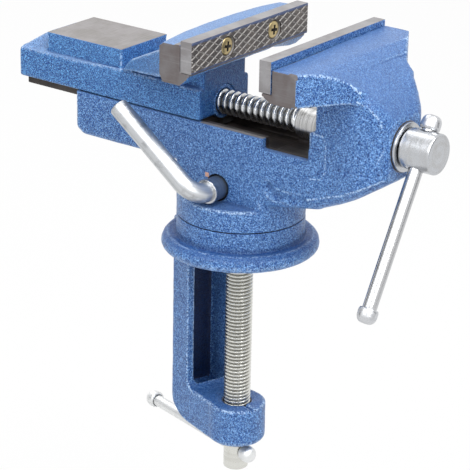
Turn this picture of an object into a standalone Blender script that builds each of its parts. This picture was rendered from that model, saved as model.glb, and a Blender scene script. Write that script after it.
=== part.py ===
"""Swivel bench vise with a clamp base, at rest with its jaws part open.

Metres, +Z up. The origin is the centre of the clamp flange's flat underside, which sits on the
bench top. The main screw runs along X, with its handle at +X. The jaws are wide along Y.
"""

import math

import bmesh
import bpy
from mathutils import Matrix, Vector

# Clearances
FIT_GAP = 0.0003
RUN_GAP = 0.00025
OVERRUN = 0.0010
BURY = 0.0008
WELD = 0.00001
JOIN_STEP = 0.00005
HOLE_END_GAP = 0.0006

# Jaws
JAW_WIDTH = 0.0750
JAW_OPENING = 0.0307
PLATE_THICK = 0.0059
PLATE_HEIGHT = 0.0123
PLATE_TOP = 0.0932
MOVING_FACE_X = 0.0035
MOVING_JAW_DEPTH = 0.0101
MOVING_JAW_STEP = 0.0017
FIXED_JAW_DEPTH = 0.0109
FIXED_JAW_STEP = 0.0030
JAW_FOOT_DROP = 0.0038
LIP_LENGTH = 0.0045
LIP_SLOPE = 0.0016
JAW_EDGE = 0.0020
JAW_CROWN = 0.0005

# Jaw plate screws
PLATE_SCREW_SPACING = 0.0300
PLATE_SCREW_HEAD_RADIUS = 0.0043
PLATE_SCREW_HEAD_HEIGHT = 0.0022
PLATE_SCREW_RADIUS = 0.0024
PLATE_SCREW_LENGTH = 0.0125
PLATE_SCREW_SINK = 0.0002
CROSS_LENGTH = 0.0042
CROSS_WIDTH = 0.0010
CROSS_DEPTH = 0.0014

# Slide and anvil
SLIDE_WIDTH = 0.0320
SLIDE_HEIGHT = 0.01255
SLIDE_END_X = -0.0092
SLIDE_LENGTH = 0.0939
SLIDE_EDGE = 0.0010
TONGUE_DEPTH = 0.00425
TONGUE_SETBACK = 0.0004
TONGUE_FRONT_SETBACK = 0.0030
ANVIL_FRONT_X = -0.0499
ANVIL_LENGTH = 0.0390
ANVIL_WIDTH = 0.0290
ANVIL_HEIGHT = 0.0083
ANVIL_ROOT = 0.0016
NOSE_TOP_WIDTH = 0.0150
NOSE_TIP_HEIGHT = 0.0008
NECK_WIDTH = 0.0268
NECK_START_GAP = 0.0014
WING_ROOT_RISE = 0.0005
WING_TIP_DROP = 0.0042
WING_TIP_THICK = 0.0084
WING_SPREAD = 0.0012

# Bed and rails
RAIL_TOP = 0.05405
BED_END_X = -0.0725
BED_DEPTH = 0.0186
BED_EDGE = 0.0030
RAIL_WALL = 0.0046
KEEPER_WALL = 0.0024
LIP_THICK = 0.00395
KEEPER_ROOM = 0.0044
KEEPER_SLOT_END_X = 0.0185
NOTCH_START_X = 0.0212
NOTCH_DEPTH = 0.00415
PAD_END_X = 0.0504
PAD_TOP = 0.0615

# Housing round the main screw
HOUSING_FACE_X = 0.0427
HOUSING_STEP = 0.0023
HOUSING_END_X = 0.0752
HOUSING_HALF = 0.0172
HOUSING_END_TOP = 0.0702
HOUSING_END_LOW = 0.0464
BELLY_LOW = 0.0240
BELLY_ROUND = 0.0052
CROWN_ROUND = 0.0042
WING_LOW = 0.0768
WING_LOW_RISE = 0.0014

# Turret and lock
TURRET_RADIUS = 0.0258
TURRET_LOW = 0.01515
TURRET_DISC_TOP = 0.0240
TURRET_EDGE = 0.0005
SPIGOT_RADIUS = 0.0120
SPIGOT_HEIGHT = 0.0258
SPIGOT_EDGE = 0.0010
GROOVE_DEPTH = 0.0018
GROOVE_WIDTH = 0.0110
LOCK_HEIGHT = 0.0294
LOCK_THREAD_RADIUS = 0.0047
LOCK_HOLE_RADIUS = 0.00525
LOCK_TIP_RADIUS = 0.0036
LOCK_TIP_LENGTH = 0.0030
LOCK_RING_RADIUS = 0.0050
LOCK_RING_LENGTH = 0.0012
LOCK_RING_OUT = 0.0060
LOCK_BAR_RADIUS = 0.0039
LOCK_BEND_RADIUS = 0.0075
LOCK_BAR_OUT = 0.0147
LOCK_BAR_LENGTH = 0.0480
LOCK_BAR_ANGLE = math.radians(142.7)
LOCK_BAR_EDGE = 0.0006

# Main screw
SCREW_HEIGHT = 0.0589
SCREW_RADIUS = 0.0050
SCREW_PITCH = 0.0030
SCREW_THREAD_DEPTH = 0.0015
SCREW_THREAD_START_X = 0.0290
SCREW_TIP_X = -0.0660
SCREW_THREAD_GAP = 0.0010
HEAD_RADIUS = 0.0079
HEAD_LENGTH = 0.0133
HEAD_EDGE = 0.0008
WASHER_RADIUS = 0.0098
WASHER_THICK = 0.0011
COLLAR_RADIUS = 0.0063
COLLAR_LENGTH = 0.0135
COLLAR_EDGE = 0.0007
COLLAR_PIN_RADIUS = 0.0010
COLLAR_PIN_SETBACK = 0.0024
COLLAR_PIN_STAND = 0.0005
NUT_RADIUS = 0.0067
NUT_LENGTH = 0.0170
NUT_SETBACK = 0.0028
SCREW_BORE_END_WALL = 0.0048
SCREW_BORE_GAP = 0.0005

# Keeper under the slide
KEEPER_LENGTH = 0.0480
KEEPER_THICK = 0.0030
KEEPER_FRONT_SETBACK = 0.0048
KEEPER_SCREW_RADIUS = 0.0019
KEEPER_SCREW_HEAD_RADIUS = 0.0034
KEEPER_SCREW_HEAD_HEIGHT = 0.0018
KEEPER_SCREW_LENGTH = 0.0085
KEEPER_SCREW_SIDE = 0.0080
KEEPER_SCREW_FRONT = 0.0235
KEEPER_SCREW_SPACING = 0.0180

# Main handle bar
BAR_RADIUS = 0.0028
BAR_CAP_RADIUS = 0.0039
BAR_CAP_LENGTH = 0.0058
BAR_CAP_EDGE = 0.0007
BAR_CAP_SOCKET = 0.0040
BAR_SPAN = 0.0758
BAR_TILT = math.radians(30.4)
BAR_HOLE_SETBACK = 0.0074

# Clamp
CLAMP_TURN = math.radians(-20.0)
FLANGE_RADIUS = 0.0318
FLANGE_TOP_ROUND = 0.0045
FLANGE_LOW_ROUND = 0.0028
NECK_TOP = 0.01485
NECK_FILLET = 0.0012
COLUMN_IN = 0.0212
COLUMN_OUT = 0.0356
COLUMN_WIDTH = 0.0224
COLUMN_WALL = 0.0034
COLUMN_WEB = 0.0030
COLUMN_CORNER = 0.0042
COLUMN_TOP = 0.0040
ELBOW_RADIUS = 0.0140
INNER_RADIUS = 0.0045
CLAMP_THROAT = 0.0685
BOSS_RADIUS = 0.0118
BOSS_HEIGHT = 0.0160
BOSS_EDGE = 0.0014
POCKET_SINK = 0.0040

# Clamp screw
CLAMP_SCREW_RADIUS = 0.0055
CLAMP_FOOT_RADIUS = 0.0051
CLAMP_PITCH = 0.0015
CLAMP_THREAD_DEPTH = 0.0009
CLAMP_THREAD_RUNOUT = 0.0005
CLAMP_FOOT_DROP = 0.0080
CLAMP_SCREW_EDGE = 0.0006
CLAMP_TENON_RADIUS = 0.0032
CLAMP_TENON_HEIGHT = 0.0030
CLAMP_PAD_DROP = 0.0030
CLAMP_PAD_RADIUS = 0.0100
CLAMP_PAD_THICK = 0.0028
CLAMP_PAD_HUB_RADIUS = 0.0065
CLAMP_PAD_HUB_HEIGHT = 0.0032
CLAMP_PAD_EDGE = 0.0006
CLAMP_BAR_CLEARANCE = 0.0020
CLAMP_BAR_TURN = math.radians(-15.3)
CLAMP_BAR_RADIUS = 0.0024
CLAMP_CAP_RADIUS = 0.0035
CLAMP_CAP_LENGTH = 0.0055
CLAMP_BAR_SPAN = 0.0660

# Facets
DISC_STEPS = 40
ROD_STEPS = 20
THREAD_STEPS = 12
FINE_THREAD_STEPS = 10
CORNER_STEPS = 4
CORE_STEPS = 8
BEND_STEPS = 7
EDGE_STEPS = 2
TUBE_STEPS = 4
SPARE_TURNS = 3
JAW_SIDES = (-1, 1)

# Shares of the sizes that they follow
THREAD_FLAT_SHARE = 0.34
THREAD_FLANK_SHARE = 0.16
CLAMP_FLAT_SHARE = 0.15
CLAMP_FLANK_SHARE = 0.425
FLANGE_ARC_SHARES = (-1.0, -0.67, -0.33, 0.0, 0.33, 0.67, 1.0)
NOSE_SHARES = (0.0, 0.25, 0.5, 0.75, 0.92, 1.0)
NOSE_CURVE = 1.6
HALF = 0.5
POCKET_CORNER_SHARE = 0.25
CRISP_ANGLE = math.radians(30)
SHARP_ANGLE = math.radians(35)
QUARTER_TURN = math.pi * HALF
HALF_TURN = math.pi
THREE_QUARTER_TURN = QUARTER_TURN + HALF_TURN
WING_ROWS = 6

# Along the housing from its face to its end: share of length, then shares of half width,
# of the rise from the end's top to the jaw, and of the drop from the end's foot to the belly
HOUSING_SHARES = (
    (0.00, 0.90, 0.42, 0.743),
    (0.16, 0.91, 1.00, 0.650),
    (0.33, 0.96, 0.96, 0.546),
    (0.45, 0.99, 0.87, 0.463),
    (0.56, 1.00, 0.75, 0.385),
    (0.70, 0.98, 0.57, 0.270),
    (0.83, 0.90, 0.37, 0.156),
    (0.93, 0.77, 0.18, 0.055),
    (1.00, 0.60, 0.00, 0.000),
)
BELLY_SHARES = ((0.00, 1.000), (0.45, 0.963), (0.75, 0.835), (1.00, 0.743))
# Plan of a fixed jaw wing: shares of the run behind the jaw, and of the overhang beside the housing
WING_PLAN_SHARES = ((0.00, 1.00), (0.28, 0.66), (0.50, 0.39), (0.71, 0.13), (1.00, 0.00))
# Top line of the wing behind the moving jaw: shares of its run and of its rise
NECK_TOP_SHARES = ((0.00, 0.00), (0.22, 0.35), (0.42, 0.52), (0.63, 0.70), (0.80, 0.84), (1.00, 1.00))

# Worked out from the sizes above
FLANGE_HEIGHT = FLANGE_LOW_ROUND + FLANGE_TOP_ROUND
SLIDE_LOW = RAIL_TOP + FIT_GAP
SLIDE_TOP = SLIDE_LOW + SLIDE_HEIGHT
SLIDE_BACK_X = SLIDE_END_X - SLIDE_LENGTH
SLIDE_HALF = SLIDE_WIDTH * HALF
TONGUE_LOW = SLIDE_LOW - TONGUE_DEPTH
SLOT_HALF = SLIDE_HALF - RAIL_WALL
TONGUE_HALF = SLOT_HALF - FIT_GAP
JAW_HALF = JAW_WIDTH * HALF
FIXED_FACE_X = MOVING_FACE_X + JAW_OPENING
PLATE_LOW = PLATE_TOP - PLATE_HEIGHT
JAW_LOW = PLATE_LOW - JAW_FOOT_DROP
FIXED_SEAT_X = FIXED_FACE_X + PLATE_THICK
MOVING_SEAT_X = MOVING_FACE_X - PLATE_THICK
FIXED_BACK_X = FIXED_SEAT_X + FIXED_JAW_DEPTH
MOVING_BACK_X = MOVING_SEAT_X - MOVING_JAW_DEPTH
FIXED_JAW_TOP = PLATE_TOP - FIXED_JAW_STEP
MOVING_JAW_TOP = PLATE_TOP - MOVING_JAW_STEP
PLATE_SCREW_HEIGHT = (PLATE_TOP + PLATE_LOW) * HALF
LIP_UNDER = RAIL_TOP - LIP_THICK
KEEPER_SLOT_LOW = LIP_UNDER - KEEPER_ROOM
KEEPER_SLOT_HALF = SLIDE_HALF - KEEPER_WALL
ANVIL_BACK_X = ANVIL_FRONT_X - ANVIL_LENGTH
ANVIL_TOP = SLIDE_TOP + ANVIL_HEIGHT
BOSS_TOP = -CLAMP_THROAT
BOSS_LOW = BOSS_TOP - BOSS_HEIGHT
POCKET_FLOOR = BOSS_TOP - POCKET_SINK
CLAMP_PAD_TOP = -CLAMP_PAD_DROP
CLAMP_HUB_LOW = CLAMP_PAD_TOP - CLAMP_PAD_THICK - CLAMP_PAD_HUB_HEIGHT
CLAMP_SCREW_TOP = CLAMP_HUB_LOW - FIT_GAP
CLAMP_THREAD_LOW = BOSS_LOW + CLAMP_THREAD_RUNOUT
CLAMP_BAR_HEIGHT = BOSS_LOW - CLAMP_BAR_CLEARANCE - CLAMP_CAP_RADIUS
CLAMP_SCREW_LOW = CLAMP_BAR_HEIGHT - CLAMP_FOOT_DROP
SPIGOT_TOP = NECK_TOP + SPIGOT_HEIGHT
COLLAR_FACE_X = HOUSING_FACE_X - FIT_GAP
WASHER_X = HOUSING_END_X + FIT_GAP
HEAD_X = WASHER_X + WASHER_THICK + FIT_GAP
BAR_HOLE_X = HEAD_X + HEAD_LENGTH - BAR_HOLE_SETBACK
COLLECTION_NAME = "swivel_bench_vise"

PAINT = ("blue_paint", (0.06, 0.19, 0.50), 0.0, 0.45)
ZINC = ("zinc_plate", (0.72, 0.73, 0.75), 1.0, 0.28)
GROUND = ("ground_steel", (0.55, 0.54, 0.53), 1.0, 0.40)
BRASS = ("yellow_zinc", (0.72, 0.58, 0.30), 1.0, 0.35)
BRONZE = ("nut_bronze", (0.60, 0.42, 0.22), 1.0, 0.40)
DARK_STEEL = ("dark_steel", (0.16, 0.15, 0.14), 0.8, 0.50)


def clear_scene():
    for obj in list(bpy.data.objects):
        bpy.data.objects.remove(obj, do_unlink=True)


def new_collection(name):
    group = bpy.data.collections.new(name)
    bpy.context.scene.collection.children.link(group)
    return group


def finish_of(look):
    """A material by name, made the first time that it is asked for."""
    name, colour, metallic, roughness = look
    material = bpy.data.materials.get(name)
    if material is None:
        material = bpy.data.materials.new(name)
        material.use_nodes = True
        shader = material.node_tree.nodes["Principled BSDF"]
        shader.inputs["Base Color"].default_value = (*colour, 1.0)
        shader.inputs["Metallic"].default_value = metallic
        shader.inputs["Roughness"].default_value = roughness
        material.diffuse_color = (*colour, 1.0)
    return material


def helper(name, mesh, parent=None):
    """A hidden shape that others are joined with or cut by."""
    obj = bpy.data.objects.new(name, mesh)
    CUTTERS.objects.link(obj)
    obj.hide_render = True
    obj.display_type = "WIRE"
    obj.parent = parent
    return obj


def empty_at(name, location, rotation=(0, 0, 0), parent=None):
    obj = bpy.data.objects.new(name, None)
    PARTS.objects.link(obj)
    obj.location = location
    obj.rotation_euler = rotation
    obj.parent = parent
    return obj


def placed(obj, location=(0, 0, 0), rotation=(0, 0, 0)):
    obj.location = location
    obj.rotation_euler = rotation
    return obj


def evaluated_mesh(obj):
    """The object's mesh after its modifiers, welded."""
    graph = bpy.context.evaluated_depsgraph_get()
    graph.update()
    mesh = bpy.data.meshes.new_from_object(obj.evaluated_get(graph))
    work = bmesh.new()
    work.from_mesh(mesh)
    bmesh.ops.remove_doubles(work, verts=work.verts, dist=WELD)
    bmesh.ops.recalc_face_normals(work, faces=work.faces)
    work.to_mesh(mesh)
    work.free()
    return mesh


def box(name, low, high, parent=None):
    """A block between two corners."""
    low, high = Vector(low), Vector(high)
    mesh = bpy.data.meshes.new(name)
    work = bmesh.new()
    size = Matrix.Diagonal((*(high - low), 1))
    bmesh.ops.create_cube(work, size=1, matrix=Matrix.Translation((low + high) * HALF) @ size)
    work.to_mesh(mesh)
    work.free()
    return helper(name, mesh, parent)


def turned(name, profile, steps, parent=None):
    """A solid of revolution about its own Z; the profile runs from the top down its outer side."""
    line = bpy.data.meshes.new(name)
    points = [(radius, 0, height) for radius, height in profile]
    line.from_pydata(points, [(i, i + 1) for i in range(len(points) - 1)], [])
    obj = helper(name, line, parent)
    spin = obj.modifiers.new("turn", "SCREW")
    spin.axis = "Z"
    spin.steps = steps
    spin.render_steps = steps
    spin.use_merge_vertices = True
    spin.merge_threshold = WELD
    obj.data = evaluated_mesh(obj)
    obj.modifiers.clear()
    return obj


def rod(name, radius, low, high, steps=ROD_STEPS, edge=0, parent=None):
    """A plain cylinder along its own Z, with an optional chamfer at both ends."""
    if edge:
        profile = [
            (0, high),
            (radius - edge, high),
            (radius, high - edge),
            (radius, low + edge),
            (radius - edge, low),
            (0, low),
        ]
    else:
        profile = [(0, high), (radius, high), (radius, low), (0, low)]
    return turned(name, profile, steps, parent)


def prism(name, outline, half_depth, parent=None):
    """A flat outline in its own XY, as thick as twice the half depth along its own Z."""
    curve = bpy.data.curves.new(name, "CURVE")
    curve.dimensions = "2D"
    curve.fill_mode = "BOTH"
    curve.extrude = half_depth
    spline = curve.splines.new("POLY")
    spline.points.add(len(outline) - 1)
    for point, (x, y) in zip(spline.points, outline):
        point.co = (x, y, 0, 1)
    spline.use_cyclic_u = True
    drawn = bpy.data.objects.new(name + "_curve", curve)
    CUTTERS.objects.link(drawn)
    mesh = evaluated_mesh(drawn)
    bpy.data.objects.remove(drawn, do_unlink=True)
    return helper(name, mesh, parent)


def side_prism(name, outline, half_depth, parent=None):
    """A prism whose outline is drawn in X and Z, and which is thick along Y."""
    return placed(prism(name, outline, half_depth, parent), rotation=(QUARTER_TURN, 0, 0))


def plan_prism(name, outline, low, high, parent=None):
    """A prism whose outline is drawn in X and Y, between two heights."""
    middle = (low + high) * HALF
    return placed(prism(name, outline, (high - low) * HALF, parent), location=(0, 0, middle))


def loft(name, rings, parent=None):
    """A closed skin over a row of rings that have the same number of points."""
    work = bmesh.new()
    rows = [[work.verts.new(point) for point in ring] for ring in rings]
    count = len(rows[0])
    for first, second in zip(rows, rows[1:]):
        for i in range(count):
            following = (i + 1) % count
            work.faces.new((first[i], first[following], second[following], second[i]))
    work.faces.new(rows[0])
    work.faces.new(rows[-1])
    bmesh.ops.recalc_face_normals(work, faces=work.faces)
    mesh = bpy.data.meshes.new(name)
    work.to_mesh(mesh)
    work.free()
    return helper(name, mesh, parent)


def arc(centre, radius, start, end, steps=CORNER_STEPS):
    """Points along an arc, both ends included."""
    turns = [start + (end - start) * i / steps for i in range(steps + 1)]
    return [(centre[0] + radius * math.cos(t), centre[1] + radius * math.sin(t)) for t in turns]


def section(x, half_width, low, high, low_round, high_round):
    """A ring across X: a rectangle in Y and Z whose lower and upper corners are rounded."""
    inner_low, inner_high = half_width - low_round, half_width - high_round
    ring = arc((inner_low, low + low_round), low_round, -QUARTER_TURN, 0)
    ring += arc((inner_high, high - high_round), high_round, 0, QUARTER_TURN)
    ring += arc((-inner_high, high - high_round), high_round, QUARTER_TURN, HALF_TURN)
    ring += arc((-inner_low, low + low_round), low_round, HALF_TURN, THREE_QUARTER_TURN)
    return [(x, y, z) for y, z in ring]


def combine(obj, other, operation):
    """Adds a Boolean of one shape on another."""
    step = obj.modifiers.new(operation.lower() + "_" + other.name, "BOOLEAN")
    step.operation = operation
    step.solver = "EXACT"
    step.object = other


def bevelled(obj, width):
    """Rounds the sharp edges."""
    step = obj.modifiers.new("edge", "BEVEL")
    step.width = width
    step.segments = EDGE_STEPS
    step.limit_method = "ANGLE"
    step.angle_limit = CRISP_ANGLE
    return obj


def piece(obj, look, joins=(), cuts=(), smooth=True):
    """Makes a shape a part of the vise: joined, cut, given its finish and shaded."""
    for other in joins:
        combine(obj, other, "UNION")
    for other in cuts:
        combine(obj, other, "DIFFERENCE")
    CUTTERS.objects.unlink(obj)
    PARTS.objects.link(obj)
    obj.hide_render = False
    obj.display_type = "TEXTURED"
    obj.data.materials.clear()
    obj.data.materials.append(finish_of(look))
    if smooth:
        obj.data.shade_smooth()
        obj.data.set_sharp_from_angle(angle=SHARP_ANGLE)
    return obj


def cut_square(work, height, up):
    """Cuts a mesh across its Z, drops what is outside and closes the cut."""
    everything = [*work.verts, *work.edges, *work.faces]
    bmesh.ops.bisect_plane(
        work,
        geom=everything,
        dist=WELD * HALF,
        plane_co=(0, 0, height),
        plane_no=(0, 0, up),
        clear_outer=True,
    )
    open_edges = [edge for edge in work.edges if edge.is_boundary]
    rim = [edge for edge in open_edges if all(abs(v.co.z - height) < WELD for v in edge.verts)]
    bmesh.ops.contextual_create(work, geom=rim)


def threaded_rod(name, radius, depth, pitch, shares, low, high, steps, parent=None):
    """A right-hand threaded rod along its own Z, cut square at both ends."""
    flat_share, flank_share = shares
    root = radius - depth
    crest = [(root, 0), (radius, flank_share), (radius, flank_share + flat_share)]
    foot_share = flank_share + flat_share + flank_share
    if foot_share < 1:
        crest.append((root, foot_share))
    crest.append((root, 1))
    line = bpy.data.meshes.new(name)
    points = [(r, 0, -share * pitch) for r, share in crest]
    line.from_pydata(points, [(i, i + 1) for i in range(len(points) - 1)], [])
    obj = helper(name, line, parent)
    spin = obj.modifiers.new("thread", "SCREW")
    spin.steps = steps
    spin.render_steps = steps
    spin.screw_offset = pitch
    spin.iterations = math.ceil((high - low) / pitch) + SPARE_TURNS
    spin.use_merge_vertices = True
    spin.merge_threshold = WELD
    mesh = evaluated_mesh(obj)
    obj.modifiers.clear()
    work = bmesh.new()
    work.from_mesh(mesh)
    bmesh.ops.translate(work, verts=work.verts, vec=(0, 0, low))
    cut_square(work, low, -1)
    cut_square(work, high, 1)
    bmesh.ops.recalc_face_normals(work, faces=work.faces)
    work.to_mesh(mesh)
    work.free()
    obj.data = mesh
    return obj


def along_x(obj, x, height=SCREW_HEIGHT, y=0):
    """Turns a shape's own Z to +X and puts its origin on that axis."""
    return placed(obj, location=(x, y, height), rotation=(0, QUARTER_TURN, 0))


def clamp_flange(turn):
    """Flange, neck and spigot: one turned shape."""
    groove_radius = SPIGOT_RADIUS - GROOVE_DEPTH
    groove_high = LOCK_HEIGHT + GROOVE_WIDTH * HALF
    groove_low = LOCK_HEIGHT - GROOVE_WIDTH * HALF
    equator = FLANGE_LOW_ROUND
    profile = [
        (0, SPIGOT_TOP),
        (SPIGOT_RADIUS - SPIGOT_EDGE, SPIGOT_TOP),
        (SPIGOT_RADIUS, SPIGOT_TOP - SPIGOT_EDGE),
        (SPIGOT_RADIUS, groove_high),
        (groove_radius, groove_high - GROOVE_DEPTH),
        (groove_radius, groove_low + GROOVE_DEPTH),
        (SPIGOT_RADIUS, groove_low),
        (SPIGOT_RADIUS, NECK_TOP),
        (TURRET_RADIUS, NECK_TOP),
        (TURRET_RADIUS, FLANGE_HEIGHT + NECK_FILLET),
        (TURRET_RADIUS + NECK_FILLET, FLANGE_HEIGHT),
    ]
    for share in reversed(FLANGE_ARC_SHARES):
        angle = share * QUARTER_TURN
        rim = FLANGE_TOP_ROUND if share > 0 else FLANGE_LOW_ROUND
        reach = FLANGE_RADIUS - rim + rim * math.cos(angle)
        profile.append((reach, equator + rim * math.sin(angle)))
    profile.append((0, 0))
    return turned("clamp_base", profile, DISC_STEPS, turn)


def clamp_frame(turn):
    """Column and arm: an L from the side, with rounded outer corners in plan."""
    side = [(-COLUMN_IN, COLUMN_TOP), (-COLUMN_OUT, COLUMN_TOP)]
    elbow = (-COLUMN_OUT + ELBOW_RADIUS, BOSS_LOW + ELBOW_RADIUS)
    inner = (-COLUMN_IN + INNER_RADIUS, BOSS_TOP + INNER_RADIUS)
    side += arc(elbow, ELBOW_RADIUS, HALF_TURN, THREE_QUARTER_TURN)
    side += [(0, BOSS_LOW), (0, BOSS_TOP)]
    side += arc(inner, INNER_RADIUS, THREE_QUARTER_TURN, HALF_TURN)
    half = COLUMN_WIDTH * HALF
    frame = side_prism("clamp_frame", side, half, turn)
    corner_x, corner_y = -COLUMN_OUT + COLUMN_CORNER, half - COLUMN_CORNER
    plan = arc((corner_x, corner_y), COLUMN_CORNER, QUARTER_TURN, HALF_TURN)
    plan += arc((corner_x, -corner_y), COLUMN_CORNER, HALF_TURN, THREE_QUARTER_TURN)
    plan += [(BOSS_RADIUS, -half), (BOSS_RADIUS, half)]
    plan = [(x, y * (1 + FIT_GAP / half)) if abs(y) >= half - WELD else (x, y) for x, y in plan]
    outline = plan_prism("clamp_frame_plan", plan, BOSS_LOW - OVERRUN, COLUMN_TOP + OVERRUN, turn)
    combine(frame, outline, "INTERSECT")
    return frame


def column_pocket(turn):
    """The hollow that leaves the column as a channel."""
    half = COLUMN_WIDTH * HALF - COLUMN_WALL
    low = (-COLUMN_OUT + COLUMN_WEB, -half, POCKET_FLOOR)
    high = (-COLUMN_IN + OVERRUN, half, -FIT_GAP)
    pocket = box("column_pocket", low, high, turn)
    pocket.data = evaluated_mesh(bevelled(pocket, half * POCKET_CORNER_SHARE))
    pocket.modifiers.clear()
    return pocket


def clamp_base(turn):
    """Flange, neck, spigot, channel column, arm and boss of the clamp casting."""
    boss = turned(
        "clamp_boss",
        [
            (0, BOSS_TOP + FIT_GAP),
            (BOSS_RADIUS, BOSS_TOP + FIT_GAP),
            (BOSS_RADIUS, BOSS_LOW - FIT_GAP + BOSS_EDGE),
            (BOSS_RADIUS - BOSS_EDGE, BOSS_LOW - FIT_GAP),
            (0, BOSS_LOW - FIT_GAP),
        ],
        DISC_STEPS,
        turn,
    )
    radius = CLAMP_SCREW_RADIUS + RUN_GAP
    bore = rod("clamp_bore", radius, BOSS_LOW - OVERRUN, BOSS_TOP + OVERRUN, parent=turn)
    joins = (clamp_frame(turn), boss)
    return piece(clamp_flange(turn), PAINT, joins, (column_pocket(turn), bore))


def clamp_screw(turn):
    """Threaded clamp screw with a tenon for its pad, and a plain foot with a cross hole."""
    shares = (CLAMP_FLAT_SHARE, CLAMP_FLANK_SHARE)
    screw = threaded_rod(
        "clamp_screw",
        CLAMP_SCREW_RADIUS,
        CLAMP_THREAD_DEPTH,
        CLAMP_PITCH,
        shares,
        CLAMP_THREAD_LOW,
        CLAMP_SCREW_TOP,
        FINE_THREAD_STEPS,
        turn,
    )
    tenon = rod(
        "clamp_tenon",
        CLAMP_TENON_RADIUS,
        CLAMP_SCREW_TOP - OVERRUN,
        CLAMP_SCREW_TOP + CLAMP_TENON_HEIGHT,
        parent=turn,
    )
    foot = turned(
        "clamp_foot",
        [
            (0, CLAMP_THREAD_LOW + BURY),
            (CLAMP_SCREW_RADIUS - CLAMP_THREAD_DEPTH - FIT_GAP, CLAMP_THREAD_LOW + BURY),
            (CLAMP_SCREW_RADIUS - CLAMP_THREAD_DEPTH - FIT_GAP, CLAMP_THREAD_LOW - BURY),
            (CLAMP_FOOT_RADIUS, CLAMP_THREAD_LOW - BURY),
            (CLAMP_FOOT_RADIUS, CLAMP_SCREW_LOW + CLAMP_SCREW_EDGE),
            (CLAMP_FOOT_RADIUS - CLAMP_SCREW_EDGE, CLAMP_SCREW_LOW),
            (0, CLAMP_SCREW_LOW),
        ],
        ROD_STEPS,
        turn,
    )
    reach = CLAMP_SCREW_RADIUS + OVERRUN
    hole = rod("clamp_bar_hole", CLAMP_BAR_RADIUS + RUN_GAP, -reach, reach)
    placed(hole, (0, 0, CLAMP_BAR_HEIGHT), (0, QUARTER_TURN, CLAMP_BAR_TURN))
    return piece(screw, ZINC, (tenon, foot), (hole,))


def clamp_pad(turn):
    """Swivel pad on top of the clamp screw."""
    plate_low = CLAMP_PAD_TOP - CLAMP_PAD_THICK
    pad = turned(
        "clamp_pad",
        [
            (0, CLAMP_PAD_TOP),
            (CLAMP_PAD_RADIUS - CLAMP_PAD_EDGE, CLAMP_PAD_TOP),
            (CLAMP_PAD_RADIUS, CLAMP_PAD_TOP - CLAMP_PAD_EDGE),
            (CLAMP_PAD_RADIUS, plate_low),
            (CLAMP_PAD_HUB_RADIUS, plate_low),
            (CLAMP_PAD_HUB_RADIUS, CLAMP_HUB_LOW),
            (0, CLAMP_HUB_LOW),
        ],
        DISC_STEPS,
        turn,
    )
    socket = rod(
        "pad_socket",
        CLAMP_TENON_RADIUS + RUN_GAP,
        CLAMP_HUB_LOW - OVERRUN,
        CLAMP_SCREW_TOP + CLAMP_TENON_HEIGHT + FIT_GAP,
        parent=turn,
    )
    return piece(pad, ZINC, (), (socket,))


def bar_with_caps(names, axis, sizes, near):
    """A handle bar along the empty's X with a pressed cap on each end; near is the first cap's middle."""
    bar_name, first_name, second_name = names
    radius, cap_radius, cap_length, span = sizes
    socket = BAR_CAP_SOCKET
    low = near - span
    half = cap_length * HALF
    bar_low = low + half - socket
    bar_high = near - half + socket
    bar = rod(bar_name, radius, bar_low, bar_high, parent=axis)
    placed(bar, rotation=(0, QUARTER_TURN, 0))
    piece(bar, ZINC)
    caps = ((first_name, near, -half), (second_name, low, half))
    for name, middle, mouth in caps:
        cap = rod(name, cap_radius, -half, half, edge=BAR_CAP_EDGE, parent=axis)
        placed(cap, (middle, 0, 0), (0, QUARTER_TURN, 0))
        floor = mouth - math.copysign(socket + FIT_GAP, mouth)
        ends = sorted((floor, mouth + math.copysign(OVERRUN, mouth)))
        recess = rod(name + "_socket", radius + RUN_GAP, *ends, parent=axis)
        placed(recess, (middle, 0, 0), (0, QUARTER_TURN, 0))
        piece(cap, ZINC, (), (recess,))


def clamp_bar(axis):
    """Sliding bar through the foot of the clamp screw, slid to its near stop."""
    near = CLAMP_FOOT_RADIUS + FIT_GAP + CLAMP_CAP_LENGTH * HALF
    names = ("clamp_bar", "clamp_bar_cap_near", "clamp_bar_cap_far")
    sizes = (CLAMP_BAR_RADIUS, CLAMP_CAP_RADIUS, CLAMP_CAP_LENGTH, CLAMP_BAR_SPAN)
    bar_with_caps(names, axis, sizes, near)


def turret_core():
    """The column between the turret disc and the bed: a cylinder with a flat on each side."""
    flat = math.asin((SLIDE_HALF - JOIN_STEP) / TURRET_RADIUS)
    outline = arc((0, 0), TURRET_RADIUS, -flat, flat, CORE_STEPS)
    outline += arc((0, 0), TURRET_RADIUS, HALF_TURN - flat, HALF_TURN + flat, CORE_STEPS)
    high = RAIL_TOP - BED_DEPTH + BED_EDGE + BURY
    return plan_prism("turret_core", outline, TURRET_DISC_TOP - BURY, high)


def bed_body():
    """The straight bed with rounded lower edges and a rounded lower back corner."""
    low = RAIL_TOP - BED_DEPTH
    edge = SLIDE_EDGE * HALF
    corner = BED_EDGE * HALF
    rings = [
        section(BED_END_X, SLIDE_HALF - edge, low + BED_EDGE, RAIL_TOP, corner, edge),
        section(BED_END_X + edge, SLIDE_HALF, low + BED_EDGE - edge, RAIL_TOP, corner, edge),
        section(BED_END_X + BED_EDGE, SLIDE_HALF, low, RAIL_TOP, BED_EDGE, edge),
        section(PAD_END_X, SLIDE_HALF, low, RAIL_TOP, BED_EDGE, edge),
    ]
    return loft("bed_body", rings)


def housing_levels(share_row):
    """Half width, foot and top of the housing at one row of its shares."""
    width_share, rise_share, drop_share = share_row
    low = HOUSING_END_LOW - (HOUSING_END_LOW - BELLY_LOW) * drop_share
    high = HOUSING_END_TOP + (FIXED_JAW_TOP + JAW_CROWN - HOUSING_END_TOP) * rise_share
    return HOUSING_HALF * width_share, low, high


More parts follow.
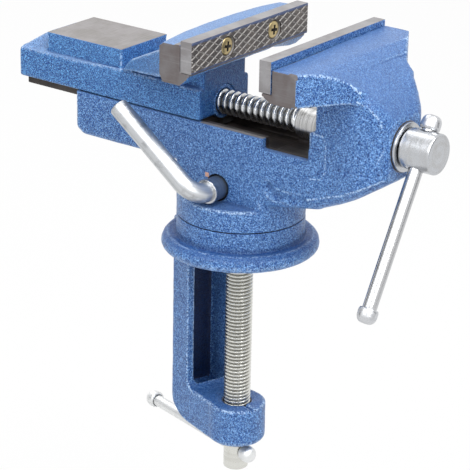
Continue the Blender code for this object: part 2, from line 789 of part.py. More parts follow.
def housing_body():
    """The barrel that holds the main screw, from the jaw to the handle end."""
    start = HOUSING_FACE_X + HOUSING_STEP
    rings = []
    for run_share, *levels in HOUSING_SHARES:
        half_width, low, high = housing_levels(levels)
        x = start + (HOUSING_END_X - start) * run_share
        rings.append(section(x, half_width, low, high, BELLY_ROUND, CROWN_ROUND))
    return loft("housing_body", rings)


def belly_body():
    """The underside that sweeps from the turret to the housing."""
    end = HOUSING_FACE_X + HOUSING_STEP + BURY
    rings = []
    for run_share, drop_share in BELLY_SHARES:
        low = HOUSING_END_LOW - (HOUSING_END_LOW - BELLY_LOW) * drop_share
        half_width = HOUSING_HALF * HOUSING_SHARES[0][1]
        top = KEEPER_SLOT_LOW - OVERRUN
        rings.append(section(end * run_share, half_width, low, top, BELLY_ROUND, JAW_EDGE))
    return loft("belly_body", rings)


def jaw_outline(seat, depth, top, low):
    """Side outline of a jaw casting that faces +X from its plate seat; depth runs to -X."""
    back = seat - depth
    lip_end = seat + LIP_LENGTH
    return [
        (seat, top),
        (back + JAW_EDGE, top - JAW_CROWN),
        (back, top - JAW_EDGE),
        (back, low + JAW_EDGE),
        (back + JAW_EDGE, low),
        (seat, low),
        (lip_end - LIP_SLOPE, low + LIP_SLOPE),
        (lip_end, PLATE_LOW - FIT_GAP - LIP_SLOPE * HALF),
        (lip_end, PLATE_LOW - FIT_GAP),
        (seat, PLATE_LOW - FIT_GAP),
    ]


def fixed_wings():
    """The flared ribs that carry the ends of the fixed jaw."""
    start = HOUSING_FACE_X + HOUSING_STEP
    inside = FIXED_SEAT_X + BURY
    side = [(inside, WING_LOW + WING_LOW_RISE), (inside, FIXED_JAW_TOP - FIT_GAP)]
    for run_share, *levels in HOUSING_SHARES[1:WING_ROWS]:
        end_x = start + (HOUSING_END_X - start) * run_share
        side.append((end_x, housing_levels(levels)[-1]))
    side.append((end_x, WING_LOW))
    wings = side_prism("fixed_wings", side, JAW_HALF - FIT_GAP)
    run = end_x - FIXED_BACK_X
    over = JAW_HALF - HOUSING_HALF
    near = [(FIXED_BACK_X + run * a, HOUSING_HALF + over * b) for a, b in WING_PLAN_SHARES]
    near = [(FIXED_SEAT_X, JAW_HALF)] + near + [(end_x + OVERRUN, HOUSING_HALF * HALF)]
    far = [(x, -y) for x, y in reversed(near)]
    plan = plan_prism("fixed_wings_plan", near + far, WING_LOW - OVERRUN, PLATE_TOP)
    combine(wings, plan, "INTERSECT")
    return wings


def mirrored_x(outline, about):
    """The same outline facing the other way along X, still drawn in the same turning sense."""
    return [(about + about - x, z) for x, z in reversed(outline)]


def plate_screw_holes(name, seat, direction):
    """Clearance holes in a jaw casting for the two plate screws."""
    holes = []
    depth = PLATE_SCREW_LENGTH - PLATE_THICK + FIT_GAP
    ends = sorted((-direction * OVERRUN, direction * depth))
    for side in JAW_SIDES:
        y = side * PLATE_SCREW_SPACING * HALF
        hole = rod(name + "_hole", PLATE_SCREW_RADIUS + RUN_GAP, *ends, steps=ROD_STEPS)
        holes.append(along_x(hole, seat, PLATE_SCREW_HEIGHT, y))
    return holes


def bed_cuts():
    """The slot for the slide's tongue, the wider slot under it for the keeper, and the notch."""
    front = HOUSING_FACE_X
    back = BED_END_X - OVERRUN
    side = SLIDE_HALF + OVERRUN
    slot = box("rail_slot", (back, -SLOT_HALF, KEEPER_SLOT_LOW), (front, SLOT_HALF, RAIL_TOP + OVERRUN))
    keeper_slot = box(
        "keeper_slot",
        (back, -KEEPER_SLOT_HALF, KEEPER_SLOT_LOW - FIT_GAP),
        (KEEPER_SLOT_END_X, KEEPER_SLOT_HALF, LIP_UNDER),
    )
    notch = box(
        "rail_notch",
        (NOTCH_START_X, -side, RAIL_TOP - NOTCH_DEPTH),
        (front - FIT_GAP, side, RAIL_TOP + OVERRUN),
    )
    return [slot, keeper_slot, notch]


def swivel_bores():
    """Bores for the main screw and the spigot, and the hole for the lock handle."""
    radius = SCREW_RADIUS + RUN_GAP
    screw_bore = rod("housing_bore", radius, HOUSING_FACE_X - OVERRUN, HOUSING_END_X + OVERRUN)
    along_x(screw_bore, 0)
    radius = SPIGOT_RADIUS + RUN_GAP
    spigot_bore = rod("spigot_bore", radius, TURRET_LOW - OVERRUN, SPIGOT_TOP + FIT_GAP, DISC_STEPS)
    lock_hole = rod("lock_hole", LOCK_HOLE_RADIUS, SPIGOT_RADIUS * HALF, TURRET_RADIUS)
    placed(lock_hole, (0, 0, LOCK_HEIGHT), (QUARTER_TURN, 0, 0))
    return [screw_bore, spigot_bore, lock_hole]


def swivel_body():
    """Turret, bed, housing and fixed jaw in one casting."""
    turret = turned(
        "swivel_body",
        [
            (0, TURRET_DISC_TOP),
            (TURRET_RADIUS - TURRET_EDGE, TURRET_DISC_TOP),
            (TURRET_RADIUS, TURRET_DISC_TOP - TURRET_EDGE),
            (TURRET_RADIUS, TURRET_LOW),
            (0, TURRET_LOW),
        ],
        DISC_STEPS,
    )
    pad = box(
        "rail_end_pad",
        (HOUSING_FACE_X, -SLIDE_HALF - JOIN_STEP, RAIL_TOP - BED_DEPTH + BED_EDGE + JOIN_STEP),
        (PAD_END_X + JOIN_STEP, SLIDE_HALF + JOIN_STEP, PAD_TOP),
    )
    outline = jaw_outline(FIXED_SEAT_X, FIXED_JAW_DEPTH, FIXED_JAW_TOP, JAW_LOW)
    jaw = side_prism("fixed_jaw", mirrored_x(outline, FIXED_SEAT_X), JAW_HALF)
    joins = (turret_core(), bed_body(), belly_body(), housing_body(), pad, jaw, fixed_wings())
    cuts = bed_cuts() + swivel_bores() + plate_screw_holes("fixed_plate", FIXED_SEAT_X, 1)
    return piece(turret, PAINT, joins, cuts)


def anvil_nose():
    """The sloping nose behind the anvil, with leaning sides."""
    run = ANVIL_BACK_X - SLIDE_BACK_X - SLIDE_EDGE - JOIN_STEP
    rings = []
    for share in NOSE_SHARES:
        x = ANVIL_BACK_X + BURY - (run + BURY) * share
        rise = ANVIL_HEIGHT * (1 - share**NOSE_CURVE)
        top = SLIDE_TOP + NOSE_TIP_HEIGHT + max(rise - NOSE_TIP_HEIGHT - FIT_GAP, 0)
        lean = (SLIDE_HALF - NOSE_TOP_WIDTH * HALF) * (top - SLIDE_TOP) / ANVIL_HEIGHT
        foot = SLIDE_HALF - SLIDE_EDGE - JOIN_STEP
        crown = foot - lean
        low = SLIDE_TOP - BURY
        right = [(foot, low), (foot, SLIDE_TOP), (crown, top)]
        left = [(-y, z) for y, z in reversed(right)]
        rings.append([(x, y, z) for y, z in right + left])
    return loft("anvil_nose", rings)


def neck_line():
    """Top line of the neck and wings behind the moving jaw, from the anvil to the jaw."""
    start = ANVIL_FRONT_X + NECK_START_GAP
    run = MOVING_BACK_X - start
    foot = SLIDE_TOP + WING_ROOT_RISE
    rise = MOVING_JAW_TOP - WING_TIP_DROP - foot
    return [(start + run * a, foot + rise * b) for a, b in NECK_TOP_SHARES]


def moving_neck():
    """The middle of the casting, between the slide and the moving jaw."""
    line = neck_line()
    inside = MOVING_BACK_X + BURY
    front = SLIDE_END_X - JOIN_STEP
    side = [(line[0][0], SLIDE_TOP - BURY), (front, SLIDE_TOP - BURY)]
    side += [(front, JAW_LOW + BURY), (inside, JAW_LOW + BURY), (inside, line[-1][1])]
    side += list(reversed(line))
    return side_prism("moving_neck", side, NECK_WIDTH * HALF)


def moving_wings():
    """The flared ribs that carry the ends of the moving jaw."""
    line = neck_line()
    tip_low = line[-1][1] - WING_TIP_THICK
    inside = MOVING_BACK_X + BURY
    side = list(reversed(line)) + [(line[0][0], SLIDE_TOP - BURY), (inside, tip_low)]
    side.append((inside, line[-1][1]))
    wings = side_prism("moving_wings", side, JAW_HALF - FIT_GAP)
    root = SLIDE_HALF - SLIDE_EDGE - JOIN_STEP
    near = [(line[0][0] - OVERRUN, root), (MOVING_BACK_X, JAW_HALF - WING_SPREAD)]
    near.append((inside + OVERRUN, JAW_HALF))
    far = [(x, -y) for x, y in reversed(near)]
    plan = plan_prism("moving_wings_plan", near + far, SLIDE_LOW, PLATE_TOP)
    combine(wings, plan, "INTERSECT")
    return wings


def sliding_jaw_cuts():
    """The screw's bore, the nut's pocket, and the holes for the plate and keeper screws."""
    bore_end = SLIDE_BACK_X + SCREW_BORE_END_WALL
    bore_radius = SCREW_RADIUS + SCREW_BORE_GAP
    nut_end = SLIDE_END_X - NUT_SETBACK - NUT_LENGTH - FIT_GAP
    nut_radius = NUT_RADIUS + RUN_GAP
    mouth = SLIDE_END_X + OVERRUN
    profile = [
        (0, mouth),
        (nut_radius, mouth),
        (nut_radius, nut_end),
        (bore_radius, nut_end),
        (bore_radius, bore_end),
        (0, bore_end),
    ]
    bore = along_x(turned("slide_bore", profile, ROD_STEPS), 0)
    cuts = [bore] + plate_screw_holes("moving_plate", MOVING_SEAT_X, -1)
    high = KEEPER_SCREW_LENGTH - KEEPER_THICK + HOLE_END_GAP
    for x, y in keeper_screw_places():
        hole = rod("keeper_hole", KEEPER_SCREW_RADIUS + RUN_GAP, -OVERRUN, high)
        cuts.append(placed(hole, (x, y, TONGUE_LOW - FIT_GAP)))
    return cuts


def sliding_jaw():
    """Slide, tongue, anvil, neck and moving jaw in one casting."""
    low, high = (SLIDE_BACK_X, -SLIDE_HALF, SLIDE_LOW), (SLIDE_END_X, SLIDE_HALF, SLIDE_TOP)
    slide = box("sliding_jaw", low, high)
    slide.data = evaluated_mesh(bevelled(slide, SLIDE_EDGE))
    slide.modifiers.clear()
    tongue = box(
        "tongue",
        (SLIDE_BACK_X + TONGUE_SETBACK, -TONGUE_HALF, TONGUE_LOW),
        (SLIDE_END_X - TONGUE_FRONT_SETBACK, TONGUE_HALF, SLIDE_LOW + BURY),
    )
    half = ANVIL_WIDTH * HALF
    anvil = box(
        "anvil",
        (ANVIL_BACK_X, -half, SLIDE_TOP - ANVIL_ROOT),
        (ANVIL_FRONT_X, half, ANVIL_TOP),
    )
    outline = jaw_outline(MOVING_SEAT_X, MOVING_JAW_DEPTH, MOVING_JAW_TOP, JAW_LOW)
    jaw = side_prism("moving_jaw", outline, JAW_HALF)
    joins = (tongue, anvil, anvil_nose(), moving_neck(), jaw, moving_wings())
    return piece(slide, PAINT, joins, sliding_jaw_cuts())


def countersink(name, radii, depths):
    """A cutter for a countersunk hole, down its own Z from the surface at its origin."""
    mouth, shank = radii
    straight, floor, thick = depths
    profile = [
        (0, OVERRUN),
        (mouth, OVERRUN),
        (mouth, -straight),
        (shank, -floor),
        (shank, -thick - OVERRUN),
        (0, -thick - OVERRUN),
    ]
    return turned(name, profile, ROD_STEPS)


def jaw_plate(name, seat, direction):
    """A hardened jaw plate with two countersunk holes; direction is where its face looks."""
    face = seat + direction * PLATE_THICK
    low, high = sorted((seat + direction * FIT_GAP, face))
    plate = box(name, (low, -JAW_HALF, PLATE_LOW), (high, JAW_HALF, PLATE_TOP))
    mouth = PLATE_SCREW_HEAD_RADIUS + RUN_GAP
    shank = PLATE_SCREW_RADIUS + RUN_GAP
    floor = PLATE_SCREW_SINK + PLATE_SCREW_HEAD_HEIGHT + RUN_GAP
    cuts = []
    for side in JAW_SIDES:
        y = side * PLATE_SCREW_SPACING * HALF
        sink = countersink(name + "_sink", (mouth, shank), (PLATE_SCREW_SINK, floor, PLATE_THICK))
        placed(sink, (face, y, PLATE_SCREW_HEIGHT), (0, direction * QUARTER_TURN, 0))
        cuts.append(sink)
    return piece(plate, GROUND, (), cuts, smooth=False)


def cross_slots(name, head_top):
    """Two crossed cutters for a screw's driver recess."""
    slots = []
    low = head_top - CROSS_DEPTH
    for long_x in (True, False):
        long_half, short_half = CROSS_LENGTH * HALF, CROSS_WIDTH * HALF
        x, y = (long_half, short_half) if long_x else (short_half, long_half)
        slots.append(box(name + "_cross", (-x, -y, low), (x, y, head_top + OVERRUN)))
    return slots


def countersunk_screw(name, location, rotation, sizes, look, recessed=True):
    """A countersunk screw whose head's top is at its origin and whose shank runs down its own Z."""
    head_radius, head_height, radius, length = sizes
    profile = [(0, 0), (head_radius, 0), (radius, -head_height), (radius, -length), (0, -length)]
    screw = placed(turned(name, profile, ROD_STEPS), location, rotation)
    cuts = cross_slots(name, 0) if recessed else []
    for cut in cuts:
        placed(cut, location, rotation)
    return piece(screw, look, (), cuts)


def plate_screws(label, face, direction):
    """The two screws that hold a jaw plate."""
    length = PLATE_SCREW_LENGTH - PLATE_SCREW_SINK
    sizes = (PLATE_SCREW_HEAD_RADIUS, PLATE_SCREW_HEAD_HEIGHT, PLATE_SCREW_RADIUS, length)
    top = face - direction * PLATE_SCREW_SINK
    rotation = (0, direction * QUARTER_TURN, 0)
    for side, word in zip(JAW_SIDES, ("near", "far")):
        place = (top, side * PLATE_SCREW_SPACING * HALF, PLATE_SCREW_HEIGHT)
        countersunk_screw(f"{label}_screw_{word}", place, rotation, sizes, BRASS)


def keeper_screw_places():
    """Centres of the four keeper screws."""
    first = SLIDE_END_X - KEEPER_SCREW_FRONT
    for x in (first, first - KEEPER_SCREW_SPACING):
        for side in JAW_SIDES:
            yield x, side * KEEPER_SCREW_SIDE


def keeper():
    """The plate that hooks under the rails, and its screws."""
    top = TONGUE_LOW - FIT_GAP
    low = top - KEEPER_THICK
    front = SLIDE_END_X - KEEPER_FRONT_SETBACK
    half = KEEPER_SLOT_HALF - FIT_GAP
    plate = box("keeper_plate", (front - KEEPER_LENGTH, -half, low), (front, half, top))
    head = (KEEPER_SCREW_HEAD_RADIUS, KEEPER_SCREW_HEAD_HEIGHT)
    sizes = (*head, KEEPER_SCREW_RADIUS, KEEPER_SCREW_LENGTH)
    radii = (KEEPER_SCREW_HEAD_RADIUS + RUN_GAP, KEEPER_SCREW_RADIUS + RUN_GAP)
    depths = (0, KEEPER_SCREW_HEAD_HEIGHT + RUN_GAP, KEEPER_THICK)
    downward = (HALF_TURN, 0, 0)
    cuts = []
    for number, (x, y) in enumerate(keeper_screw_places(), 1):
        cuts.append(placed(countersink("keeper_sink", radii, depths), (x, y, low), downward))
        name = f"keeper_screw_{number}"
        countersunk_screw(name, (x, y, low), downward, sizes, DARK_STEEL, recessed=False)
    return piece(plate, DARK_STEEL, (), cuts, smooth=False)


def lead_nut():
    """The bush in the sliding jaw that the main screw runs in."""
    high = SLIDE_END_X - NUT_SETBACK
    nut = along_x(rod("lead_nut", NUT_RADIUS, -NUT_LENGTH, 0, DISC_STEPS), high)
    bore = along_x(rod("nut_bore", SCREW_RADIUS + RUN_GAP, -NUT_LENGTH - OVERRUN, OVERRUN), high)
    return piece(nut, BRONZE, (), (bore,))


def main_screw():
    """Lead screw with its thread, plain journal and drilled head."""
    thread_top = SCREW_THREAD_START_X - FIT_GAP
    shares = (THREAD_FLAT_SHARE, THREAD_FLANK_SHARE)
    thread = threaded_rod(
        "main_screw",
        SCREW_RADIUS,
        SCREW_THREAD_DEPTH,
        SCREW_PITCH,
        shares,
        SCREW_TIP_X,
        thread_top,
        THREAD_STEPS,
    )
    along_x(thread, 0)
    root = SCREW_RADIUS - SCREW_THREAD_DEPTH - FIT_GAP
    head_end = HEAD_X + HEAD_LENGTH
    journal = turned(
        "screw_journal",
        [
            (0, head_end),
            (HEAD_RADIUS - HEAD_EDGE, head_end),
            (HEAD_RADIUS, head_end - HEAD_EDGE),
            (HEAD_RADIUS, HEAD_X),
            (SCREW_RADIUS, HEAD_X),
            (SCREW_RADIUS, thread_top + SCREW_THREAD_GAP),
            (root, thread_top + SCREW_THREAD_GAP),
            (root, thread_top - BURY),
            (0, thread_top - BURY),
        ],
        ROD_STEPS,
    )
    along_x(journal, 0)
    reach = HEAD_RADIUS + OVERRUN
    bar_hole = rod("bar_hole", BAR_RADIUS + RUN_GAP, -reach, reach)
    placed(bar_hole, (BAR_HOLE_X, 0, SCREW_HEIGHT), (-BAR_TILT, 0, 0))
    pin_reach = COLLAR_RADIUS + OVERRUN
    pin_radius = COLLAR_PIN_RADIUS + RUN_GAP
    pin_hole = rod("screw_pin_hole", pin_radius, -pin_reach, pin_reach, THREAD_STEPS)
    placed(pin_hole, (collar_pin_x(), 0, SCREW_HEIGHT))
    return piece(thread, ZINC, (journal,), (bar_hole, pin_hole))


def collar_pin_x():
    return COLLAR_FACE_X - COLLAR_LENGTH + COLLAR_PIN_SETBACK


def screw_retainer():
    """The collar that stops the screw from pulling out of the housing, and its cross pin."""
    length = COLLAR_LENGTH
    collar = rod("retaining_collar", COLLAR_RADIUS, -length, 0, ROD_STEPS, COLLAR_EDGE)
    along_x(collar, COLLAR_FACE_X)
    bore = rod("collar_bore", SCREW_RADIUS + RUN_GAP, -length - OVERRUN, OVERRUN)
    along_x(bore, COLLAR_FACE_X)
    reach = COLLAR_RADIUS + OVERRUN
    cross = rod("collar_cross_hole", COLLAR_PIN_RADIUS + RUN_GAP, -reach, reach, THREAD_STEPS)
    placed(cross, (collar_pin_x(), 0, SCREW_HEIGHT))
    piece(collar, ZINC, (), (bore, cross))
    half = COLLAR_RADIUS + COLLAR_PIN_STAND
    pin = rod("collar_pin", COLLAR_PIN_RADIUS, -half, half, THREAD_STEPS)
    placed(pin, (collar_pin_x(), 0, SCREW_HEIGHT))
    piece(pin, ZINC)


def thrust_washer():
    """The washer between the screw's head and the housing."""
    washer = along_x(rod("thrust_washer", WASHER_RADIUS, 0, WASHER_THICK, DISC_STEPS), WASHER_X)
    bore = rod("washer_bore", SCREW_RADIUS + RUN_GAP, -OVERRUN, WASHER_THICK + OVERRUN)
    along_x(bore, WASHER_X)
    return piece(washer, ZINC, (), (bore,))


def main_bar():
    """Sliding T-bar through the screw's head, dropped to its stop."""
    upward = Vector((0, math.sin(BAR_TILT), math.cos(BAR_TILT)))
    turn = upward.to_track_quat("X", "Z").to_euler()
    axis = empty_at("main_bar_axis", (BAR_HOLE_X, 0, SCREW_HEIGHT), turn)
    near = HEAD_RADIUS + FIT_GAP + BAR_CAP_LENGTH * HALF
    names = ("main_bar", "main_bar_cap_upper", "main_bar_cap_lower")
    sizes = (BAR_RADIUS, BAR_CAP_RADIUS, BAR_CAP_LENGTH, BAR_SPAN)
    bar_with_caps(names, axis, sizes, near)


def lock_handle():
    """Bent handle whose threaded end locks the turret on its spigot."""
    plane_y = -(SLIDE_HALF + LOCK_BAR_OUT)
    ring_y = -(SLIDE_HALF + LOCK_RING_OUT)
    out = Vector((math.cos(LOCK_BAR_ANGLE), 0, math.sin(LOCK_BAR_ANGLE)))
    route = [Vector((0, ring_y, 0))]
    centre = Vector((0, plane_y + LOCK_BEND_RADIUS, 0)) + out * LOCK_BEND_RADIUS
    for i in range(BEND_STEPS + 1):
        angle = QUARTER_TURN * i / BEND_STEPS
        inward = -out * math.cos(angle) - Vector((0, 1, 0)) * math.sin(angle)
        route.append(centre + inward * LOCK_BEND_RADIUS)
    tip = Vector((0, plane_y, 0)) + out * LOCK_BAR_LENGTH
    route.append(tip - out * LOCK_BAR_EDGE)
    bar = tube("lock_handle", route, LOCK_BAR_RADIUS)
    placed(bar, (0, 0, LOCK_HEIGHT))
    tip_depth = SPIGOT_RADIUS - GROOVE_DEPTH + FIT_GAP
    stem = turned(
        "lock_stem",
        [
            (0, -ring_y + LOCK_RING_LENGTH),
            (LOCK_RING_RADIUS, -ring_y + LOCK_RING_LENGTH),
            (LOCK_RING_RADIUS, -ring_y),
            (LOCK_THREAD_RADIUS, -ring_y),
            (LOCK_THREAD_RADIUS, tip_depth + LOCK_TIP_LENGTH),
            (LOCK_TIP_RADIUS, tip_depth + LOCK_TIP_LENGTH - FIT_GAP),
            (LOCK_TIP_RADIUS, tip_depth),
            (0, tip_depth),
        ],
        ROD_STEPS,
    )
    placed(stem, (0, 0, LOCK_HEIGHT), (QUARTER_TURN, 0, 0))
    return piece(bar, ZINC, (stem,))


def tube(name, route, radius):
    """A round bar along a route, as a closed mesh."""
    curve = bpy.data.curves.new(name, "CURVE")
    curve.dimensions = "3D"
    curve.bevel_depth = radius
    curve.bevel_resolution = TUBE_STEPS
    curve.use_fill_caps = True
    spline = curve.splines.new("POLY")
    spline.points.add(len(route) - 1)
    for point, place in zip(spline.points, route):
        point.co = (*place, 1)
    drawn = bpy.data.objects.new(name + "_curve", curve)
    CUTTERS.objects.link(drawn)
    mesh = evaluated_mesh(drawn)
    bpy.data.objects.remove(drawn, do_unlink=True)
    return helper(name, mesh)


clear_scene()
PARTS = new_collection(COLLECTION_NAME)
CUTTERS = new_collection("cutters")
CLAMP_AXIS = empty_at("clamp_axis", (0, 0, 0), (0, 0, CLAMP_TURN))
CLAMP_BAR_AXIS = empty_at("clamp_bar_axis", (0, 0, CLAMP_BAR_HEIGHT), (0, 0, CLAMP_BAR_TURN))
clamp_base(CLAMP_AXIS)
clamp_screw(None)
clamp_pad(CLAMP_AXIS)
clamp_bar(CLAMP_BAR_AXIS)
swivel_body()
sliding_jaw()
jaw_plate("fixed_jaw_plate", FIXED_SEAT_X, -1)
jaw_plate("moving_jaw_plate", MOVING_SEAT_X, 1)
plate_screws("fixed_jaw", FIXED_FACE_X, -1)
plate_screws("moving_jaw", MOVING_FACE_X, 1)
keeper()
lead_nut()
main_screw()
screw_retainer()
thrust_washer()
main_bar()
lock_handle()
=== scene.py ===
"""A swivel bench vise dressed for display: rough castings, machined faces, cut plates, screws, bars and clamp."""

import logging
import math
from collections.abc import Callable, Sequence
from dataclasses import dataclass, field
from enum import Enum

import bmesh
import bpy
import numpy as np
from mathutils import Matrix, Vector, noise


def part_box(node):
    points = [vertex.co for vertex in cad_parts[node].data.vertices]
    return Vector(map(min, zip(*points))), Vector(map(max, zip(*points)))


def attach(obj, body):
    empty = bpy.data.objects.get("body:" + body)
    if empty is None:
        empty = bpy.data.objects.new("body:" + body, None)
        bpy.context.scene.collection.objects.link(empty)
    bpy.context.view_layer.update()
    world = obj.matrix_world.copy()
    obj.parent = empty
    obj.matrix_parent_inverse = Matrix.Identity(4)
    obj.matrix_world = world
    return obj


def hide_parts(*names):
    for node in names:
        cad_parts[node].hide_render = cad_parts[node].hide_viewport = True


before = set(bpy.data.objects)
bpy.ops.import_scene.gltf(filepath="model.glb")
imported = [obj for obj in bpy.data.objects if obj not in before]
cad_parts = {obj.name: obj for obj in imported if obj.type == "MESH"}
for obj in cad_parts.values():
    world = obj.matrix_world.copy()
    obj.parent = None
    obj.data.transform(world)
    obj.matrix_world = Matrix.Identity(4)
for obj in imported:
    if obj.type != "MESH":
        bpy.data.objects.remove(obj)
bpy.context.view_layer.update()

LOG = logging.getLogger("vise")

SCREW_AXIS_HEIGHT = 0.0589
JAW_HALF = 0.0375
TINY = 1e-7

Profile = list[tuple[float, float]]
Point = tuple[float, float, float]
Colour = tuple[float, float, float]


class Slot(Enum):
    """Finish slots of the record; no piece in this script takes its surface from them."""

    PAINT = "casting_paint"
    ZINC = "zinc"
    JAW_STEEL = "jaw_steel"
    YELLOW_ZINC = "yellow_zinc"
    BRONZE = "bronze"
    DARK_STEEL = "dark_steel"


# ---------------------------------------------------------------- meshes


def mesh_object(name: str, points: Sequence, faces: Sequence) -> bpy.types.Object:
    """Makes a linked mesh object.

    Args:
        name: Name of the object.
        points: Places of its vertices, in metres.
        faces: Vertex numbers of each face.

    Returns:
        The new object.
    """
    data = bpy.data.meshes.new(name)
    data.from_pydata([tuple(map(float, p)) for p in points], [], faces)
    data.shade_smooth()
    obj = bpy.data.objects.new(name, data)
    bpy.context.scene.collection.objects.link(obj)
    return obj


def applied(obj: bpy.types.Object) -> bpy.types.Object:
    """Bakes an object's modifiers into its mesh.

    Args:
        obj: The object with modifiers.

    Returns:
        The same object, with none left.
    """
    graph = bpy.context.evaluated_depsgraph_get()
    graph.update()
    made = bpy.data.meshes.new_from_object(obj.evaluated_get(graph))
    old = obj.data
    obj.modifiers.clear()
    obj.data = made
    bpy.data.meshes.remove(old)
    return obj


def cut_away(obj: bpy.types.Object, cutter: bpy.types.Object) -> None:
    """Takes a cutter's volume out of an object and deletes the cutter.

    Args:
        obj: The object that is cut.
        cutter: The closed mesh to take away.
    """
    step = obj.modifiers.new("cut", "BOOLEAN")
    step.operation = "DIFFERENCE"
    step.solver = "EXACT"
    step.object = cutter
    applied(obj)
    bpy.data.objects.remove(cutter)


def crisp(obj: bpy.types.Object, degrees: float = 35.0) -> None:
    """Keeps edges over an angle sharp and evens the shading of flat faces.

    Args:
        obj: The object to shade.
        degrees: Angle over which an edge is sharp.
    """
    obj.data.shade_smooth()
    obj.data.set_sharp_from_angle(angle=math.radians(degrees))
    step = obj.modifiers.new("even", "WEIGHTED_NORMAL")
    step.keep_sharp = True


def softened(profile: Profile, radius: float, steps: int = 4) -> Profile:
    """Rounds the inner corners of an open outline.

    Args:
        profile: Corners of the outline.
        radius: How far along each side a corner's round reaches.
        steps: Pieces of each round.

    Returns:
        The outline with rounds in place of its corners.
    """
    made = [profile[0]]
    for before, corner, after in zip(profile, profile[1:], profile[2:]):
        a, b, c = (Vector(p) for p in (before, corner, after))
        reach = min(radius, (a - b).length * 0.45, (c - b).length * 0.45)
        if reach < TINY:
            made.append(corner)
            continue
        start, end = b + (a - b).normalized() * reach, b + (c - b).normalized() * reach
        for i in range(steps + 1):
            t = i / steps
            spot = start * (1 - t) ** 2 + b * 2 * t * (1 - t) + end * t**2
            made.append((spot.x, spot.y))
    made.append(profile[-1])
    return made


def axis_frame(origin: Sequence[float], along: Sequence[float]) -> Matrix:
    """Places a piece drawn along its own X axis.

    Args:
        origin: Where the piece's zero goes.
        along: Direction its X axis takes.

    Returns:
        The matrix that does it.
    """
    x = Vector(along).normalized()
    side = Vector((0, 0, 1)) if abs(x.z) < 0.9 else Vector((0, 1, 0))
    y = side.cross(x).normalized()
    z = x.cross(y)
    rows = [(x[i], y[i], z[i], origin[i]) for i in range(3)]
    return Matrix((*rows, (0, 0, 0, 1)))


def add_lathe_marks(obj: bpy.types.Object) -> None:
    """Stores, for a piece still along its own X axis, how far along, how far out and at what angle each vertex is.

    Args:
        obj: The piece before it is placed.
    """
    points = vertex_array(obj.data)
    out = np.hypot(points[:, 1], points[:, 2])
    turn = np.abs(np.arctan2(points[:, 2], points[:, 1])) * 0.01
    store_vector(obj.data, "lathe", np.stack([points[:, 0], out, turn], 1))


def vertex_array(data: bpy.types.Mesh) -> np.ndarray:
    """Returns a mesh's vertex places as rows."""
    flat = np.empty(len(data.vertices) * 3, np.float32)
    data.vertices.foreach_get("co", flat)
    return flat.reshape(-1, 3).astype(np.float64)


def store_vector(data: bpy.types.Mesh, name: str, rows: np.ndarray) -> None:
    """Writes one vector per vertex into a named attribute."""
    if name in data.attributes:
        data.attributes.remove(data.attributes[name])
    layer = data.attributes.new(name, "FLOAT_VECTOR", "POINT")
    layer.data.foreach_set("vector", rows.astype(np.float32).ravel())


def tube_from_rings(name: str, rings: np.ndarray, closed: bool = False) -> bpy.types.Object:
    """Joins rings of points into a skin.

    Args:
        name: Name of the object.
        rings: Points as ring, place round it, coordinate.
        closed: True where the last ring meets the first, False where flat ends close it.

    Returns:
        The object.
    """
    count, sides, _ = rings.shape
    points = rings.reshape(-1, 3)
    i = np.arange(count if closed else count - 1)[:, None]
    j = np.arange(sides)[None, :]
    k, n = (j + 1) % sides, (i + 1) % count
    quads = np.stack(
        [i * sides + j, i * sides + k, n * sides + k, n * sides + j], -1
    ).reshape(-1, 4)
    faces = quads.tolist()
    if not closed:
        ends = np.stack([rings[0].mean(0), rings[-1].mean(0)])
        points = np.concatenate([points, ends])
        first, last = count * sides, count * sides + 1
        base = (count - 1) * sides
        for a in range(sides):
            b = (a + 1) % sides
            faces.append((first, b, a))
            faces.append((last, base + a, base + b))
    return mesh_object(name, points, faces)


def turned(
    name: str, profile: Profile, sides: int = 64, closed: bool = False
) -> bpy.types.Object:
    """Turns an outline about the X axis.

    Args:
        name: Name of the object.
        profile: Outline as (along, radius), from one end to the other.
        sides: Points round the axis.
        closed: True for a ring, whose outline ends where it starts.

    Returns:
        The turned piece, along its own X axis.
    """
    used = [p for p in profile if p[1] > TINY]
    turn = np.arange(sides) * math.tau / sides
    rings = np.empty((len(used), sides, 3))
    for row, (along, radius) in zip(rings, used):
        row[:, 0] = along
        row[:, 1] = radius * np.cos(turn)
        row[:, 2] = radius * np.sin(turn)
    obj = tube_from_rings(name, rings, closed)
    add_lathe_marks(obj)
    return obj


def placed(obj: bpy.types.Object, matrix: Matrix) -> bpy.types.Object:
    """Moves a piece's vertices by a matrix, and leaves the object at the origin."""
    obj.data.transform(matrix)
    return obj


def swept(
    name: str, path: Sequence[Vector], radii: Sequence[float], sides: int = 40
) -> bpy.types.Object:
    """Draws a round bar along a path.

    Args:
        name: Name of the object.
        path: Places of the bar's middle.
        radii: Its radius at each.
        sides: Points round it.

    Returns:
        The bar, closed at both ends.
    """
    turn = np.arange(sides) * math.tau / sides
    rings = np.empty((len(path), sides, 3))
    marks = np.empty((len(path), sides, 3))
    side = None
    gone = 0.0
    for i, spot in enumerate(path):
        ahead = path[min(i + 1, len(path) - 1)] - path[max(i - 1, 0)]
        ahead.normalize()
        if side is None:
            side = ahead.orthogonal()
        side = (side - ahead * side.dot(ahead)).normalized()
        other = ahead.cross(side)
        gone += (spot - path[max(i - 1, 0)]).length
        rings[i] = (
            np.array(spot)
            + radii[i] * np.cos(turn)[:, None] * np.array(side)
            + radii[i] * np.sin(turn)[:, None] * np.array(other)
        )
        marks[i, :, 0], marks[i, :, 1] = gone, radii[i]
        marks[i, :, 2] = np.abs(turn - math.pi) * 0.01
    obj = tube_from_rings(name, rings)
    ends = [[0, 0, 0], [gone, 0, 0]]
    store_vector(obj.data, "lathe", np.concatenate([marks.reshape(-1, 3), ends]))
    return obj


